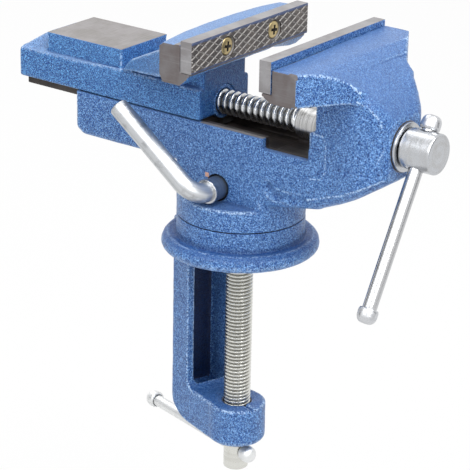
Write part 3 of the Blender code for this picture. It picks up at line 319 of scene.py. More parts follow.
def rounded_end_path(
    start: Vector, end: Vector, radius: float, edge: float, rows: int = 24
) -> tuple[list[Vector], list[float]]:
    """Gives a straight bar's path and radii with rounded rims.

    Args:
        start: One end of the bar.
        end: The other.
        radius: Radius of the bar.
        edge: Radius of the rims.
        rows: Places between the rims.

    Returns:
        The path and the radius at each of its places.
    """
    length = (end - start).length
    way = (end - start).normalized()
    rims = [math.radians(a) for a in (0, 22, 45, 67, 90)]
    offs = [(edge * (1 - math.sin(a)), radius - edge * (1 - math.cos(a))) for a in rims[::-1]]
    offs = [(o, r) for o, r in offs]
    path, radii = [], []
    for off, size in offs:
        path.append(start + way * off)
        radii.append(size)
    for i in range(1, rows):
        path.append(start + way * (edge + (length - 2 * edge) * i / rows))
        radii.append(radius)
    for off, size in offs[::-1]:
        path.append(end - way * off)
        radii.append(size)
    return path, radii


# ------------------------------------------------------------- materials


class Graph:
    """A short way to write a node tree."""

    def __init__(self, tree: bpy.types.NodeTree) -> None:
        """Takes the tree that the nodes go in."""
        self.tree = tree

    def node(self, kind: str, inputs: dict | None = None, **settings: object) -> bpy.types.Node:
        """Adds a node.

        Args:
            kind: Its type name, without the ShaderNode in front.
            inputs: Value or socket for each input, by name or number.
            settings: Its properties.

        Returns:
            The node.
        """
        made = self.tree.nodes.new("ShaderNode" + kind)
        for key, value in settings.items():
            setattr(made, key, value)
        for key, value in (inputs or {}).items():
            self.feed(made.inputs[key], value)
        return made

    def feed(self, socket: bpy.types.NodeSocket, value: object) -> None:
        """Links a socket to an input, or writes a value into it."""
        if isinstance(value, bpy.types.NodeSocket):
            self.tree.links.new(value, socket)
        elif isinstance(value, tuple) and len(value) == 3 and socket.type == "RGBA":
            socket.default_value = (*value, 1)
        else:
            socket.default_value = value

    def math(self, what: str, a: object, b: object = 0.0, clamp: bool = False) -> bpy.types.NodeSocket:
        """Returns the result of a Math node."""
        return self.node("Math", {0: a, 1: b}, operation=what, use_clamp=clamp).outputs[0]

    def ramp(self, value: object, low: float, high: float, start: float = 0.0, end: float = 1.0) -> bpy.types.NodeSocket:
        """Returns a value mapped smoothly from one span to another."""
        inputs = {"Value": value, "From Min": low, "From Max": high, "To Min": start, "To Max": end}
        return self.node("MapRange", inputs, interpolation_type="SMOOTHSTEP").outputs["Result"]

    def mix(self, share: object, a: object, b: object) -> bpy.types.NodeSocket:
        """Returns a mix of two colours."""
        made = self.node("Mix", {0: share}, data_type="RGBA")
        self.feed(made.inputs[6], a)
        self.feed(made.inputs[7], b)
        return made.outputs[2]

    def noise(self, where: object, scale: object, detail: float = 2.0, rough: float = 0.5, warp: float = 0.0) -> bpy.types.NodeSocket:
        """Returns the value of a noise texture."""
        inputs = {"Scale": scale, "Detail": detail, "Roughness": rough, "Distortion": warp}
        if where is not None:
            inputs["Vector"] = where
        return self.node("TexNoise", inputs).outputs[0]


def new_group(name: str, inputs: dict[str, float], outputs: Sequence[str]) -> tuple[bpy.types.NodeTree, Graph, dict]:
    """Starts a shader node group.

    Args:
        name: Name of the group.
        inputs: Its number inputs with their default values.
        outputs: Its number outputs.

    Returns:
        The tree, a graph on it, and its input sockets by name.
    """
    tree = bpy.data.node_groups.new(name, "ShaderNodeTree")
    for key, value in inputs.items():
        socket = tree.interface.new_socket(name=key, in_out="INPUT", socket_type="NodeSocketFloat")
        socket.default_value = value
    for key in outputs:
        tree.interface.new_socket(name=key, in_out="OUTPUT", socket_type="NodeSocketFloat")
    start = tree.nodes.new("NodeGroupInput")
    return tree, Graph(tree), {key: start.outputs[key] for key in inputs}


def end_group(tree: bpy.types.NodeTree, results: dict[str, bpy.types.NodeSocket]) -> bpy.types.NodeTree:
    """Links a group's results to its outputs and returns the group."""
    last = tree.nodes.new("NodeGroupOutput")
    for key, socket in results.items():
        tree.links.new(socket, last.inputs[key])
    return tree


def hammer_group() -> bpy.types.NodeTree:
    """Builds the hammered paint pattern: pale veins, dark dimples and height, with the veins and dimples faded on faces
    that look up as painted lighting.
    """
    inputs = {"Scale": 1500.0, "Vein": 0.08, "Smooth": 0.5}
    tree, g, given = new_group("hammered_paint", inputs, ("Light", "Dark", "Height"))
    place = g.node("TexCoord").outputs["Object"]
    cells = g.noise(place, given["Scale"], 1.5, 0.55, 0.6)
    away = g.math("ABSOLUTE", g.math("SUBTRACT", cells, 0.5))
    vein = g.math("SUBTRACT", 1.0, g.math("DIVIDE", away, given["Vein"], True), True)
    patch = g.noise(place, g.math("MULTIPLY", given["Scale"], 1.1), 1.0)
    broken = g.ramp(patch, 0.36, 0.56, 0.35, 1.0)
    facing = g.node("SeparateXYZ", {0: g.node("TexCoord").outputs["Normal"]}).outputs
    # Painted lighting: the veins and dimples fade on faces that look up, as if light from above filled them.
    level = g.ramp(facing[2], 0.25, 0.6)
    share = g.math("SUBTRACT", 1.0, g.math("MULTIPLY", level, given["Smooth"]))
    light = g.math("MULTIPLY", g.math("MULTIPLY", vein, broken), share)
    dimple = g.noise(place, g.math("MULTIPLY", given["Scale"], 1.25), 1.0)
    middle = g.ramp(dimple, 0.46, 0.64)
    dark = g.math("MULTIPLY", middle, share)
    height = g.math("SUBTRACT", g.math("MULTIPLY", cells, 0.7), g.math("MULTIPLY", middle, 0.3))
    return end_group(tree, {"Light": light, "Dark": dark, "Height": height})


def edge_wear_and_light_group() -> bpy.types.NodeTree:
    """Builds masks from each vertex's bend, which is in tenths of a millimetre: worn ridges, which also carry a painted
    edge highlight, and hollows, which carry painted shade.
    """
    tree, g, given = new_group("edge_wear_highlight_and_shade", {"Low": 0.6, "High": 2.0, "Scale": 500.0}, ("Ridge", "HollowShade"))
    bend = g.node("Attribute", attribute_name="bend").outputs["Fac"]
    place = g.node("TexCoord").outputs["Object"]
    patch = g.ramp(g.noise(place, given["Scale"], 2.0, 0.6), 0.46, 0.58, 0.0, 1.0)
    span = g.math("SUBTRACT", given["High"], given["Low"])
    rise = g.math("DIVIDE", g.math("SUBTRACT", bend, given["Low"]), span, True)
    ridge = g.math("MULTIPLY", rise, patch)
    sunk = g.math("SUBTRACT", g.math("MULTIPLY", bend, -1.0), given["Low"])
    hollow_shade = g.math("DIVIDE", sunk, span, True)
    return end_group(tree, {"Ridge": ridge, "HollowShade": hollow_shade})


def marks_group() -> bpy.types.NodeTree:
    """Builds tool marks on turned and drawn pieces, from each vertex's place on the lathe."""
    inputs = {"Along": 3000.0, "Out": 3000.0, "Round": 10.0}
    tree, g, given = new_group("lathe_marks", inputs, ("Fine", "Broad"))
    spot = g.node("Attribute", attribute_name="lathe").outputs["Vector"]
    scale = g.node("CombineXYZ", {0: given["Along"], 1: given["Out"], 2: given["Round"]}).outputs[0]
    where = g.node("VectorMath", {0: spot, 1: scale}, operation="MULTIPLY").outputs[0]
    fine = g.noise(where, 1.0, 3.0, 0.65)
    broad = g.noise(where, 0.23, 2.0, 0.5)
    return end_group(tree, {"Fine": fine, "Broad": broad})


def grit_group() -> bpy.types.NodeTree:
    """Builds fine grit, cloudy patches and scattered specks."""
    tree, g, given = new_group("grit", {"Scale": 1500.0, "Patch": 120.0}, ("Grit", "Cloud", "Speck"))
    place = g.node("TexCoord").outputs["Object"]
    grit = g.noise(place, given["Scale"], 3.0, 0.7)
    cloud = g.noise(place, given["Patch"], 4.0, 0.6)
    far = g.node("TexVoronoi", {"Vector": place, "Scale": g.math("MULTIPLY", given["Scale"], 0.35)}).outputs["Distance"]
    speck = g.math("SUBTRACT", 1.0, g.ramp(far, 0.08, 0.2))
    return end_group(tree, {"Grit": grit, "Cloud": cloud, "Speck": speck})


class Effects:
    """The shared node groups, built once."""

    def __init__(self) -> None:
        """Builds every group."""
        self.hammer = hammer_group()
        self.wear_and_light = edge_wear_and_light_group()
        self.marks = marks_group()
        self.grit = grit_group()

    @staticmethod
    def use(g: Graph, group: bpy.types.NodeTree, **values: float) -> bpy.types.NodeOutputs:
        """Places a group in a material.

        Args:
            g: Graph of the material.
            group: The group.
            values: Its inputs by name.

        Returns:
            The outputs of the placed group.
        """
        made = g.tree.nodes.new("ShaderNodeGroup")
        made.node_tree = group
        for key, value in values.items():
            made.inputs[key].default_value = value
        return made.outputs


@dataclass(frozen=True)
class Finish:
    """A surface finish: its name and plain shader values."""

    name: str
    metallic: float = 0.0
    ior: float = 1.5
    coat: float = 0.0
    coat_roughness: float = 0.1

    def start(self) -> tuple[bpy.types.Material, Graph, bpy.types.Node]:
        """Makes the material with its shader.

        Returns:
            The material, a graph on it and the shader node.
        """
        material = bpy.data.materials.new(self.name)
        material.use_nodes = True
        shader = material.node_tree.nodes["Principled BSDF"]
        shader.inputs["Metallic"].default_value = self.metallic
        shader.inputs["IOR"].default_value = self.ior
        shader.inputs["Coat Weight"].default_value = self.coat
        shader.inputs["Coat Roughness"].default_value = self.coat_roughness
        return material, Graph(material.node_tree), shader

    def bump(self, g: Graph, shader: bpy.types.Node, height: object, depth: float, strength: float = 1.0) -> None:
        """Feeds a height to the shader's normal.

        Args:
            g: Graph of the material.
            shader: Its shader.
            height: Socket with the height, from 0 to 1.
            depth: What a height of 1 stands for, in metres.
            strength: Strength of the bump.
        """
        made = g.node("Bump", {"Height": height, "Distance": depth, "Strength": strength})
        g.feed(shader.inputs["Normal"], made.outputs[0])


@dataclass(frozen=True)
class HammeredPaint(Finish):
    """Blue paint that dries with pale veins, worn on the ridges, with painted highlights on the ridges and on faces
    that look up, and painted shade in hollows.
    """

    base: Colour = (0.013, 0.084, 0.310)
    light: Colour = (0.245, 0.480, 0.860)
    dark: Colour = (0.002, 0.030, 0.150)
    chip_and_sheen: Colour = (0.50, 0.68, 0.92)
    scale: float = 1450.0
    ridge_wear_and_highlight: float = 0.8
    strength: float = 1.0
    painted_top_sheen: float = 0.0

    def build(self, effects: Effects) -> bpy.types.Material:
        """Returns the finished material."""
        material, g, shader = self.start()
        hammer = effects.use(g, effects.hammer, Scale=self.scale, Vein=0.085, Smooth=0.5)
        wear_and_light = effects.use(g, effects.wear_and_light, Low=0.30, High=0.85, Scale=1300.0)
        grit = effects.use(g, effects.grit, Scale=1600.0, Patch=60.0)
        tone = g.mix(g.ramp(grit["Cloud"], 0.35, 0.65, 0.0, 0.16), self.base, self.dark)
        tone = g.mix(g.math("MULTIPLY", hammer["Dark"], 0.95 * self.strength), tone, self.dark)
        tone = g.mix(g.math("MULTIPLY", hammer["Light"], self.strength), tone, self.light)
        # Painted highlight: faces that look up are paled towards the chip colour, standing in for light from above.
        upward = g.node("SeparateXYZ", {0: g.node("TexCoord").outputs["Normal"]}).outputs[2]
        tone = g.mix(g.ramp(upward, 0.2, 0.8, 0.0, self.painted_top_sheen), tone, self.chip_and_sheen)
        # Ridges take the pale chip colour: partly worn paint, partly a painted edge highlight.
        tone = g.mix(g.math("MULTIPLY", wear_and_light["Ridge"], self.ridge_wear_and_highlight), tone, self.chip_and_sheen)
        # Painted shade: hollows are darkened towards the dark paint.
        tone = g.mix(g.math("MULTIPLY", wear_and_light["HollowShade"], 0.5), tone, self.dark)
        g.feed(shader.inputs["Base Color"], tone)
        rough = g.ramp(grit["Grit"], 0.3, 0.7, 0.28, 0.46)
        g.feed(shader.inputs["Roughness"], rough)
        self.bump(g, shader, hammer["Height"], 0.0004, 1.0)
        return material


@dataclass(frozen=True)
class MachinedIron(Finish):
    """Bare cast iron with the marks of the cutter."""

    base: Colour = (0.185, 0.175, 0.18)
    warm: Colour = (0.14, 0.12, 0.118)
    stretch: Point = (30.0, 900.0, 900.0)
    rough_low: float = 0.34
    rough_high: float = 0.55

    def build(self, effects: Effects) -> bpy.types.Material:
        """Returns the finished material."""
        material, g, shader = self.start()
        grit = effects.use(g, effects.grit, Scale=2200.0, Patch=90.0)
        place = g.node("TexCoord").outputs["Object"]
        where = g.node("VectorMath", {0: place, 1: self.stretch}, operation="MULTIPLY").outputs[0]
        cut = g.noise(where, 2.2, 3.0, 0.6)
        tone = g.mix(g.ramp(grit["Cloud"], 0.36, 0.64), self.base, self.warm)
        bright = tuple(min(1.0, c * 1.35) for c in self.base)
        tone = g.mix(g.ramp(cut, 0.5, 0.75, 0.0, 0.5), tone, bright)
        tone = g.mix(g.ramp(grit["Grit"], 0.55, 0.75, 0.0, 0.4), tone, self.warm)
        g.feed(shader.inputs["Base Color"], tone)
        g.feed(shader.inputs["Roughness"], g.ramp(cut, 0.3, 0.7, self.rough_low, self.rough_high))
        self.bump(g, shader, g.math("ADD", cut, g.math("MULTIPLY", grit["Grit"], 0.5)), 0.00003, 0.6)
        return material


@dataclass(frozen=True)
class TurnedMetal(Finish):
    """Plated steel that was turned or drawn: rings or long streaks, soft clouds, small stains and painted shade in
    thread roots.
    """

    base: Colour = (0.72, 0.73, 0.74)
    stain: Colour = (0.42, 0.41, 0.40)
    along: float = 3000.0
    out: float = 3000.0
    around: float = 10.0
    rough_low: float = 0.16
    rough_high: float = 0.36
    depth: float = 0.000008
    root: float = 0.0
    flank: float = 0.0
    root_shade: float = 0.0

    def build(self, effects: Effects) -> bpy.types.Material:
        """Returns the finished material."""
        material, g, shader = self.start()
        marks = effects.use(g, effects.marks, Along=self.along, Out=self.out, Round=self.around)
        grit = effects.use(g, effects.grit, Scale=1800.0, Patch=260.0)
        tone = g.mix(g.ramp(marks["Broad"], 0.35, 0.65, 0.0, 0.35), self.base, self.stain)
        tone = g.mix(g.ramp(grit["Cloud"], 0.5, 0.7, 0.0, 0.4), tone, self.stain)
        # Painted shade: the deeper a thread's root lies, the nearer black it is painted.
        if self.root_shade:
            spot = g.node("Attribute", attribute_name="lathe").outputs["Vector"]
            out = g.node("SeparateXYZ", {0: spot}).outputs[1]
            low = g.ramp(out, self.root, self.flank, self.root_shade, 0.0)
            tone = g.mix(low, tone, tuple(c * 0.08 for c in self.stain))
        g.feed(shader.inputs["Base Color"], tone)
        mixed = g.math("ADD", g.math("MULTIPLY", marks["Fine"], 0.6), g.math("MULTIPLY", grit["Grit"], 0.4))
        g.feed(shader.inputs["Roughness"], g.ramp(mixed, 0.35, 0.65, self.rough_low, self.rough_high))
        self.bump(g, shader, mixed, self.depth, 0.7)
        return material


@dataclass(frozen=True)
class CutSteel(Finish):
    """Hard jaw steel: a painted highlight along one set of cuts, painted shade with a few painted glints along the
    other.
    """

    base: Colour = (0.092, 0.080, 0.076)
    dark: Colour = (0.030, 0.028, 0.031)
    bright: Colour = (0.74, 0.72, 0.69)
    blue: Colour = (0.05, 0.075, 0.16)

    def build(self, effects: Effects) -> bpy.types.Material:
        """Returns the finished material."""
        material, g, shader = self.start()
        grit = effects.use(g, effects.grit, Scale=2600.0, Patch=160.0)
        cuts = g.node("SeparateXYZ", {0: g.node("Attribute", attribute_name="cuts").outputs["Vector"]}).outputs
        tone = g.mix(g.ramp(grit["Cloud"], 0.35, 0.65, 0.0, 0.6), self.base, self.dark)
        tone = g.mix(g.ramp(grit["Grit"], 0.5, 0.7, 0.0, 0.5), tone, (0.30, 0.27, 0.25))
        # Painted shade along the second set of cuts, with a few painted glints.
        tone = g.mix(g.math("MULTIPLY", cuts[1], 0.8), tone, self.dark)
        tone = g.mix(g.math("MULTIPLY", cuts[1], g.ramp(grit["Grit"], 0.46, 0.56, 0.0, 0.7)), tone, self.bright)
        # Painted highlight along the first set of cuts, as if their edges caught the light.
        lit = g.math("MULTIPLY", cuts[0], g.ramp(grit["Grit"], 0.3, 0.55, 0.35, 1.0))
        tone = g.mix(lit, tone, self.bright)
        ragged = g.ramp(g.math("ADD", cuts[2], g.math("MULTIPLY", grit["Cloud"], 0.9)), 0.75, 1.0, 0.0, 0.9)
        tone = g.mix(ragged, tone, self.blue)
        g.feed(shader.inputs["Base Color"], tone)
        g.feed(shader.inputs["Roughness"], g.ramp(grit["Grit"], 0.3, 0.7, 0.35, 0.6))
        self.bump(g, shader, grit["Grit"], 0.00004, 0.6)
        return material


class Finishes:
    """Every finish of the vise, built once."""

    def __init__(self) -> None:
        """Builds the node groups and the materials."""
        effects = Effects()
        self.paint = HammeredPaint(
            "hammered_blue_paint", ior=1.4, coat=0.08, coat_roughness=0.2, strength=1.12
        ).build(effects)
        # A copy of the paint with a painted highlight on faces that look up.
        self.swivel_paint_top_sheen = HammeredPaint(
            "swivel_blue_paint_top_sheen", ior=1.4, coat=0.08, coat_roughness=0.2, strength=1.12, painted_top_sheen=0.09,
        ).build(effects)
        # Finer paint with a stronger painted highlight on faces that look up.
        self.slide_paint = HammeredPaint(
            "fine_blue_paint", ior=1.4, coat=0.08, coat_roughness=0.2, scale=1650.0, strength=0.95,
            light=(0.20, 0.53, 0.99), ridge_wear_and_highlight=0.6, painted_top_sheen=0.24,
        ).build(effects)
        # Painted shade: darker, flatter paint for the slide's front face, which lies in the shadow of the plate.
        self.front_shade_paint = HammeredPaint(
            "slide_front_painted_shade", ior=1.4, ridge_wear_and_highlight=0.0, strength=0.6, base=(0.010, 0.062, 0.230), light=(0.12, 0.32, 0.62),
        ).build(effects)
        self.smooth_paint = HammeredPaint("thin_blue_paint", ior=1.4, ridge_wear_and_highlight=0.0).build(effects)
        # Painted shade: dark navy paint for faces that lie in shadow, such as the wall of the clamp's pocket.
        self.pocket_shade_paint = HammeredPaint(
            "pocket_painted_shade", ior=1.4, ridge_wear_and_highlight=0.0, base=(0.004, 0.018, 0.075), light=(0.012, 0.04, 0.14),
            dark=(0.001, 0.005, 0.030),
        ).build(effects)
        self.machined = MachinedIron("machined_iron", metallic=0.55).build(effects)
        self.planed = MachinedIron(
            "planed_iron", metallic=0.45, base=(0.265, 0.250, 0.252), warm=(0.21, 0.198, 0.19), stretch=(900.0, 40.0, 900.0)
        ).build(effects)
        # Near-black oily iron: the slot's oil, and painted shade inside bores, slots and undersides.
        self.oily_iron_and_shade = MachinedIron(
            "oily_slot_iron_and_shade", metallic=0.3, base=(0.060, 0.050, 0.045), warm=(0.022, 0.019, 0.018)
        ).build(effects)
        self.thread = TurnedMetal(
            "screw_thread_zinc", metallic=1.0, rough_low=0.2, rough_high=0.32, base=(0.70, 0.715, 0.73),
            stain=(0.50, 0.50, 0.50), depth=0.000001, root=0.0035, flank=0.0046, root_shade=0.95,
        ).build(effects)
        self.fine_thread = TurnedMetal(
            "clamp_thread_zinc", metallic=1.0, rough_low=0.22, rough_high=0.34, base=(0.74, 0.74, 0.70),
            stain=(0.58, 0.57, 0.53), depth=0.000001, root=0.0046, flank=0.0052, root_shade=0.6,
        ).build(effects)
        self.collar = TurnedMetal(
            "turned_collar_steel", metallic=1.0, rough_low=0.25, rough_high=0.4, base=(0.56, 0.56, 0.56),
            stain=(0.01, 0.01, 0.01), along=6500.0, around=15.0, depth=0.00003,
        ).build(effects)
        self.head = TurnedMetal("screw_head_zinc", metallic=1.0, around=120.0, along=900.0, base=(0.54, 0.555, 0.58)).build(effects)
        self.drawn = TurnedMetal(
            "drawn_bar_zinc", metallic=1.0, base=(0.58, 0.59, 0.61), along=25.0, out=0.0, around=300.0, rough_low=0.18, rough_high=0.34, depth=0.000001
        ).build(effects)
        self.handle = TurnedMetal(
            "bent_handle_zinc", metallic=0.95, along=14.0, out=0.0, around=900.0, rough_low=0.34, rough_high=0.5,
            base=(0.64, 0.66, 0.68), stain=(0.15, 0.155, 0.16),
        ).build(effects)
        # Paler, rougher zinc for the clamp bar: partly its duller finish, partly a painted highlight for the brighter
        # light on it.
        self.dull_lit_bar = TurnedMetal(
            "dull_bar_zinc", metallic=0.8, along=25.0, out=0.0, around=300.0, rough_low=0.4, rough_high=0.55,
            base=(0.80, 0.81, 0.81), stain=(0.62, 0.63, 0.64), depth=0.000001,
        ).build(effects)
        self.cap = TurnedMetal(
            "pressed_cap_zinc", metallic=0.95, around=160.0, along=900.0, rough_low=0.26, rough_high=0.42,
            base=(0.62, 0.63, 0.65), stain=(0.40, 0.41, 0.43),
        ).build(effects)
        self.stem = TurnedMetal(
            "handle_stem_steel", metallic=0.8, base=(0.20, 0.25, 0.32), stain=(0.12, 0.15, 0.2), rough_low=0.3, rough_high=0.5
        ).build(effects)
        self.plate = CutSteel("cross_cut_jaw_steel", metallic=0.35).build(effects)
        self.ground = MachinedIron(
            "ground_jaw_steel", metallic=0.4, base=(0.31, 0.305, 0.315), warm=(0.225, 0.215, 0.22), stretch=(60.0, 900.0, 400.0)
        ).build(effects)
        self.primer = MachinedIron(
            "bare_chip", metallic=0.2, base=(0.62, 0.36, 0.26), warm=(0.4, 0.2, 0.14)
        ).build(effects)
        self.brass = TurnedMetal(
            "yellow_passivated_screws", metallic=0.9, base=(0.56, 0.45, 0.23), stain=(0.36, 0.28, 0.15), rough_low=0.25, rough_high=0.45
        ).build(effects)
        self.bronze = TurnedMetal(
            "bronze_nut", metallic=0.9, base=(0.16, 0.11, 0.065), stain=(0.07, 0.05, 0.035), rough_low=0.25, rough_high=0.45
        ).build(effects)
        self.dark = MachinedIron(
            "dark_keeper_steel", metallic=0.8, base=(0.12, 0.12, 0.125), warm=(0.06, 0.055, 0.05)
        ).build(effects)


# -------------------------------------------------------------- castings


@dataclass(frozen=True)
class Region:
    """A box of the casting that isn't rounded, and the finish number of its faces."""

    low: Point
    high: Point
    finish: int = 0
    facing: Point | None = None

    def distance(self, points: np.ndarray) -> np.ndarray:
        """Returns how far outside the box each point is."""
        gap = np.maximum(np.maximum(np.array(self.low) - points, points - np.array(self.high)), 0)
        return np.linalg.norm(gap, axis=1)


@dataclass(frozen=True)
class Bore:
    """A round hole or pin of the casting that isn't rounded."""

    origin: Point
    axis: Point
    radius: float
    start: float
    end: float
    finish: int = 0

    facing: Point | None = None

    def distance(self, points: np.ndarray) -> np.ndarray:
        """Returns how far outside the bore each point is."""
        axis = np.array(self.axis)
        off = points - np.array(self.origin)
        along = off @ axis
        out = np.linalg.norm(off - along[:, None] * axis, axis=1)
        gap = np.stack([out - self.radius, self.start - along, along - self.end], 1)
        return np.linalg.norm(np.maximum(gap, 0), axis=1)


@dataclass(frozen=True)
class Ridge:
    """A low rounded line cast onto the sides, drawn in the XZ plane and mirrored to the far side."""

    path: Profile
    height: float
    half: float
    side: float

    def rise(self, points: np.ndarray) -> np.ndarray:
        """Returns how far each point is lifted off the side."""
        away = np.full(len(points), 1.0)
        flat = points[:, [0, 2]]
        for start, end in zip(self.path, self.path[1:]):
            a, b = np.array(start), np.array(end)
            share = np.clip(((flat - a) @ (b - a)) / ((b - a) @ (b - a)), 0, 1)
            away = np.minimum(away, np.linalg.norm(flat - a - share[:, None] * (b - a), axis=1))
        lift = np.clip(1 - away / self.half, 0, 1)
        return self.height * lift * lift * (3 - 2 * lift) * (np.abs(points[:, 1]) > self.side)


@dataclass
class Casting:
    """A sand casting: the node's form with rounded rough skin and crisp machined faces."""

    node: str
    body: str
    kept: list
    shaped: Callable[[np.ndarray], np.ndarray] | None = None
    grain: float = 0.00045
    rounds: int = 7
    fade: float = 0.0010
    uneven: float = 0.00010
    uneven_size: float = 0.007
    ridges: list[Ridge] = field(default_factory=list)

    def build(self, finishes: Sequence[bpy.types.Material]) -> bpy.types.Object:
        """Makes the casting in place of its node.

        Args:
            finishes: Materials in the order of the finish numbers.

        Returns:
            The casting.
        """
        obj = self.remeshed()
        data = obj.data
        points = vertex_array(data)
        free = np.ones(len(points))
        for region in self.kept:
            free = np.minimum(free, np.clip(region.distance(points) / self.fade, 0, 1))
        points = self.relaxed(data, points, free)
        points = self.roughened(data, points, free)
        if self.shaped is not None:
            points = self.shaped(points)
        points = np.clip(points, *(np.array(corner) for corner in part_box(self.node)))
        data.vertices.foreach_set("co", points.astype(np.float32).ravel())
        data.update()
        self.store_bend(data, points, free)
        for material in finishes:
            data.materials.append(material)
        self.dress(data)
        data.shade_smooth()
        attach(obj, self.body)
        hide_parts(self.node)
        return obj

    def remeshed(self) -> bpy.types.Object:
        """Returns a copy of the node with an even skin of small faces."""
        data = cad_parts[self.node].data.copy()
        data.materials.clear()
        work = bmesh.new()
        work.from_mesh(data)
        bmesh.ops.remove_doubles(work, verts=work.verts, dist=1e-6)
        work.to_mesh(data)
        work.free()
        obj = bpy.data.objects.new(self.node + "_casting", data)
        bpy.context.scene.collection.objects.link(obj)
        step = obj.modifiers.new("skin", "REMESH")
        step.mode = "VOXEL"
        step.voxel_size = self.grain
        step.adaptivity = 0
        return applied(obj)

    def relaxed(self, data: bpy.types.Mesh, points: np.ndarray, free: np.ndarray) -> np.ndarray:
        """Rounds the skin by moving each free vertex towards its neighbours.

        Args:
            data: The mesh, for its edges.
            points: Vertex places.
            free: How far each may follow, from 0 to 1.

        Returns:
            The new places.
        """
        flat = np.empty(len(data.edges) * 2, np.int32)
        data.edges.foreach_get("vertices", flat)
        a, b = flat.reshape(-1, 2).T
        count = np.bincount(a, minlength=len(points)) + np.bincount(b, minlength=len(points))
        share = (0.5 * free / np.maximum(count, 1))[:, None]
        for _ in range(self.rounds):
            pull = np.empty_like(points)
            for axis in range(3):
                step = points[b, axis] - points[a, axis]
                pull[:, axis] = np.bincount(a, step, len(points)) - np.bincount(b, step, len(points))
            points = points + pull * share
        return points

    def roughened(self, data: bpy.types.Mesh, points: np.ndarray, free: np.ndarray) -> np.ndarray:
        """Adds the low swells that a sand mould leaves.

        Args:
            data: The mesh, for its normals.
            points: Vertex places.
            free: How much of the swell each takes.

        Returns:
            The new places.
        """
        flat = np.empty(len(points) * 3, np.float32)
        data.vertices.foreach_set("co", points.astype(np.float32).ravel())
        data.update()
        data.vertex_normals.foreach_get("vector", flat)
        scaled = points / self.uneven_size
        swell = np.array([noise.noise(Vector(p)) for p in scaled]) * self.uneven
        for ridge in self.ridges:
            swell += ridge.rise(points)
        return points + flat.reshape(-1, 3) * (swell * free)[:, None]

    def store_bend(self, data: bpy.types.Mesh, points: np.ndarray, free: np.ndarray) -> None:
        """Stores how far each vertex stands out of its smoothed surroundings, in tenths of a millimetre.

        Args:
            data: The mesh, with its final places.
            points: Those places.
            free: How much of the skin at each vertex is cast.
        """
        flat = np.empty(len(points) * 3, np.float32)
        data.vertex_normals.foreach_get("vector", flat)
        smooth = self.relaxed(data, points, np.ones(len(points)))
        bend = ((points - smooth) * flat.reshape(-1, 3)).sum(1) * 1e4
        layer = data.attributes.new("bend", "FLOAT", "POINT")
        layer.data.foreach_set("value", (bend * free).astype(np.float32))

    def dress(self, data: bpy.types.Mesh) -> None:
        """Gives the faces of machined regions their finish."""
        count = len(data.polygons)
        centres = np.empty(count * 3, np.float32)
        normals = np.empty(count * 3, np.float32)
        data.polygons.foreach_get("center", centres)
        data.polygons.foreach_get("normal", normals)
        centres, normals = centres.reshape(-1, 3), normals.reshape(-1, 3)
        number = np.zeros(count, np.int32)
        for region in self.kept:
            if not region.finish:
                continue
            inside = region.distance(centres) < 0.00005
            if region.facing is not None:
                inside &= normals @ np.array(region.facing) > 0.75
            number[inside] = region.finish
        data.polygons.foreach_set("material_index", number)


class CastingFinish(Enum):
    """Finish numbers of a casting's faces."""

    PAINT = 0
    MACHINED = 1
    PLANED = 2
    # Oily iron, also painted shade in bores, slots and undersides.
    OILY_AND_SHADE = 3
    CHIP = 4
    SHADED = 5


def raised_crown(points: np.ndarray) -> np.ndarray:
    """Lifts the far end of the fixed jaw's crown a little, and returns the moved points."""
    far = np.clip((points[:, 1] + 0.020) / 0.0575, 0, 1)
    high = np.clip((points[:, 2] - 0.0840) / 0.0062, 0, 1)
    jaw = (points[:, 0] > 0.0340) & (points[:, 0] < 0.0600)
    points[:, 2] += 0.0012 * far * high * high * (3 - 2 * high) * jaw
    away = np.linalg.norm(points - (0.0672, 0.0150, 0.0803), axis=1) / 0.0075
    full = np.exp(-2.5 * away * away) * 0.0012
    return points + full[:, None] * (0.74, 0.50, 0.42)


def hung_wings(points: np.ndarray) -> np.ndarray:
    """Draws the moving jaw's wings down towards the slide's ledge, and returns the moved points."""
    side = np.abs(points[:, 1])
    out = np.clip((side - 0.0225) / 0.0110, 0, 1)
    root = np.clip((0.0240 - side) / 0.0060, 0, 1) * (side > 0.0163)
    wing = points[:, 0] < -0.0127
    floor = np.where(wing, 0.0675 + 0.346 * (points[:, 0] + 0.0445), 0.0767)
    under = points[:, 2] - floor
    band = np.clip(1 - under / np.where(wing, 0.0050, 0.0030), 0, 1) * (under > -0.0030) * (side > 0.0163)
    jaw = (points[:, 0] > -0.0460) & (points[:, 0] < 0.0030)
    points[:, 2] += band * jaw * (0.0007 * root - 0.0021 * out)
    ledge = np.clip(1 - np.abs(side - 0.0160) / 0.0035, 0, 1) * np.clip((points[:, 2] - 0.0630) / 0.0030, 0, 1)
    rise = np.interp(points[:, 0], (-0.0730, -0.0500, -0.0300, -0.0230, -0.0150), (0, 0.0009, 0.0013, 0.0009, 0.0002))
    points[:, 2] += rise * ledge * (points[:, 2] < 0.0670)
    bow = np.clip(1 - (side / 0.0375) ** 2.5, 0, 1) * np.clip((points[:, 2] - 0.0830) / 0.0055, 0, 1)
    bow *= np.clip((-0.0058 - points[:, 0]) / 0.0042, 0, 1) * (points[:, 0] > -0.0300)
    return points + bow[:, None] * (-0.0021, 0.0, 0.0009)


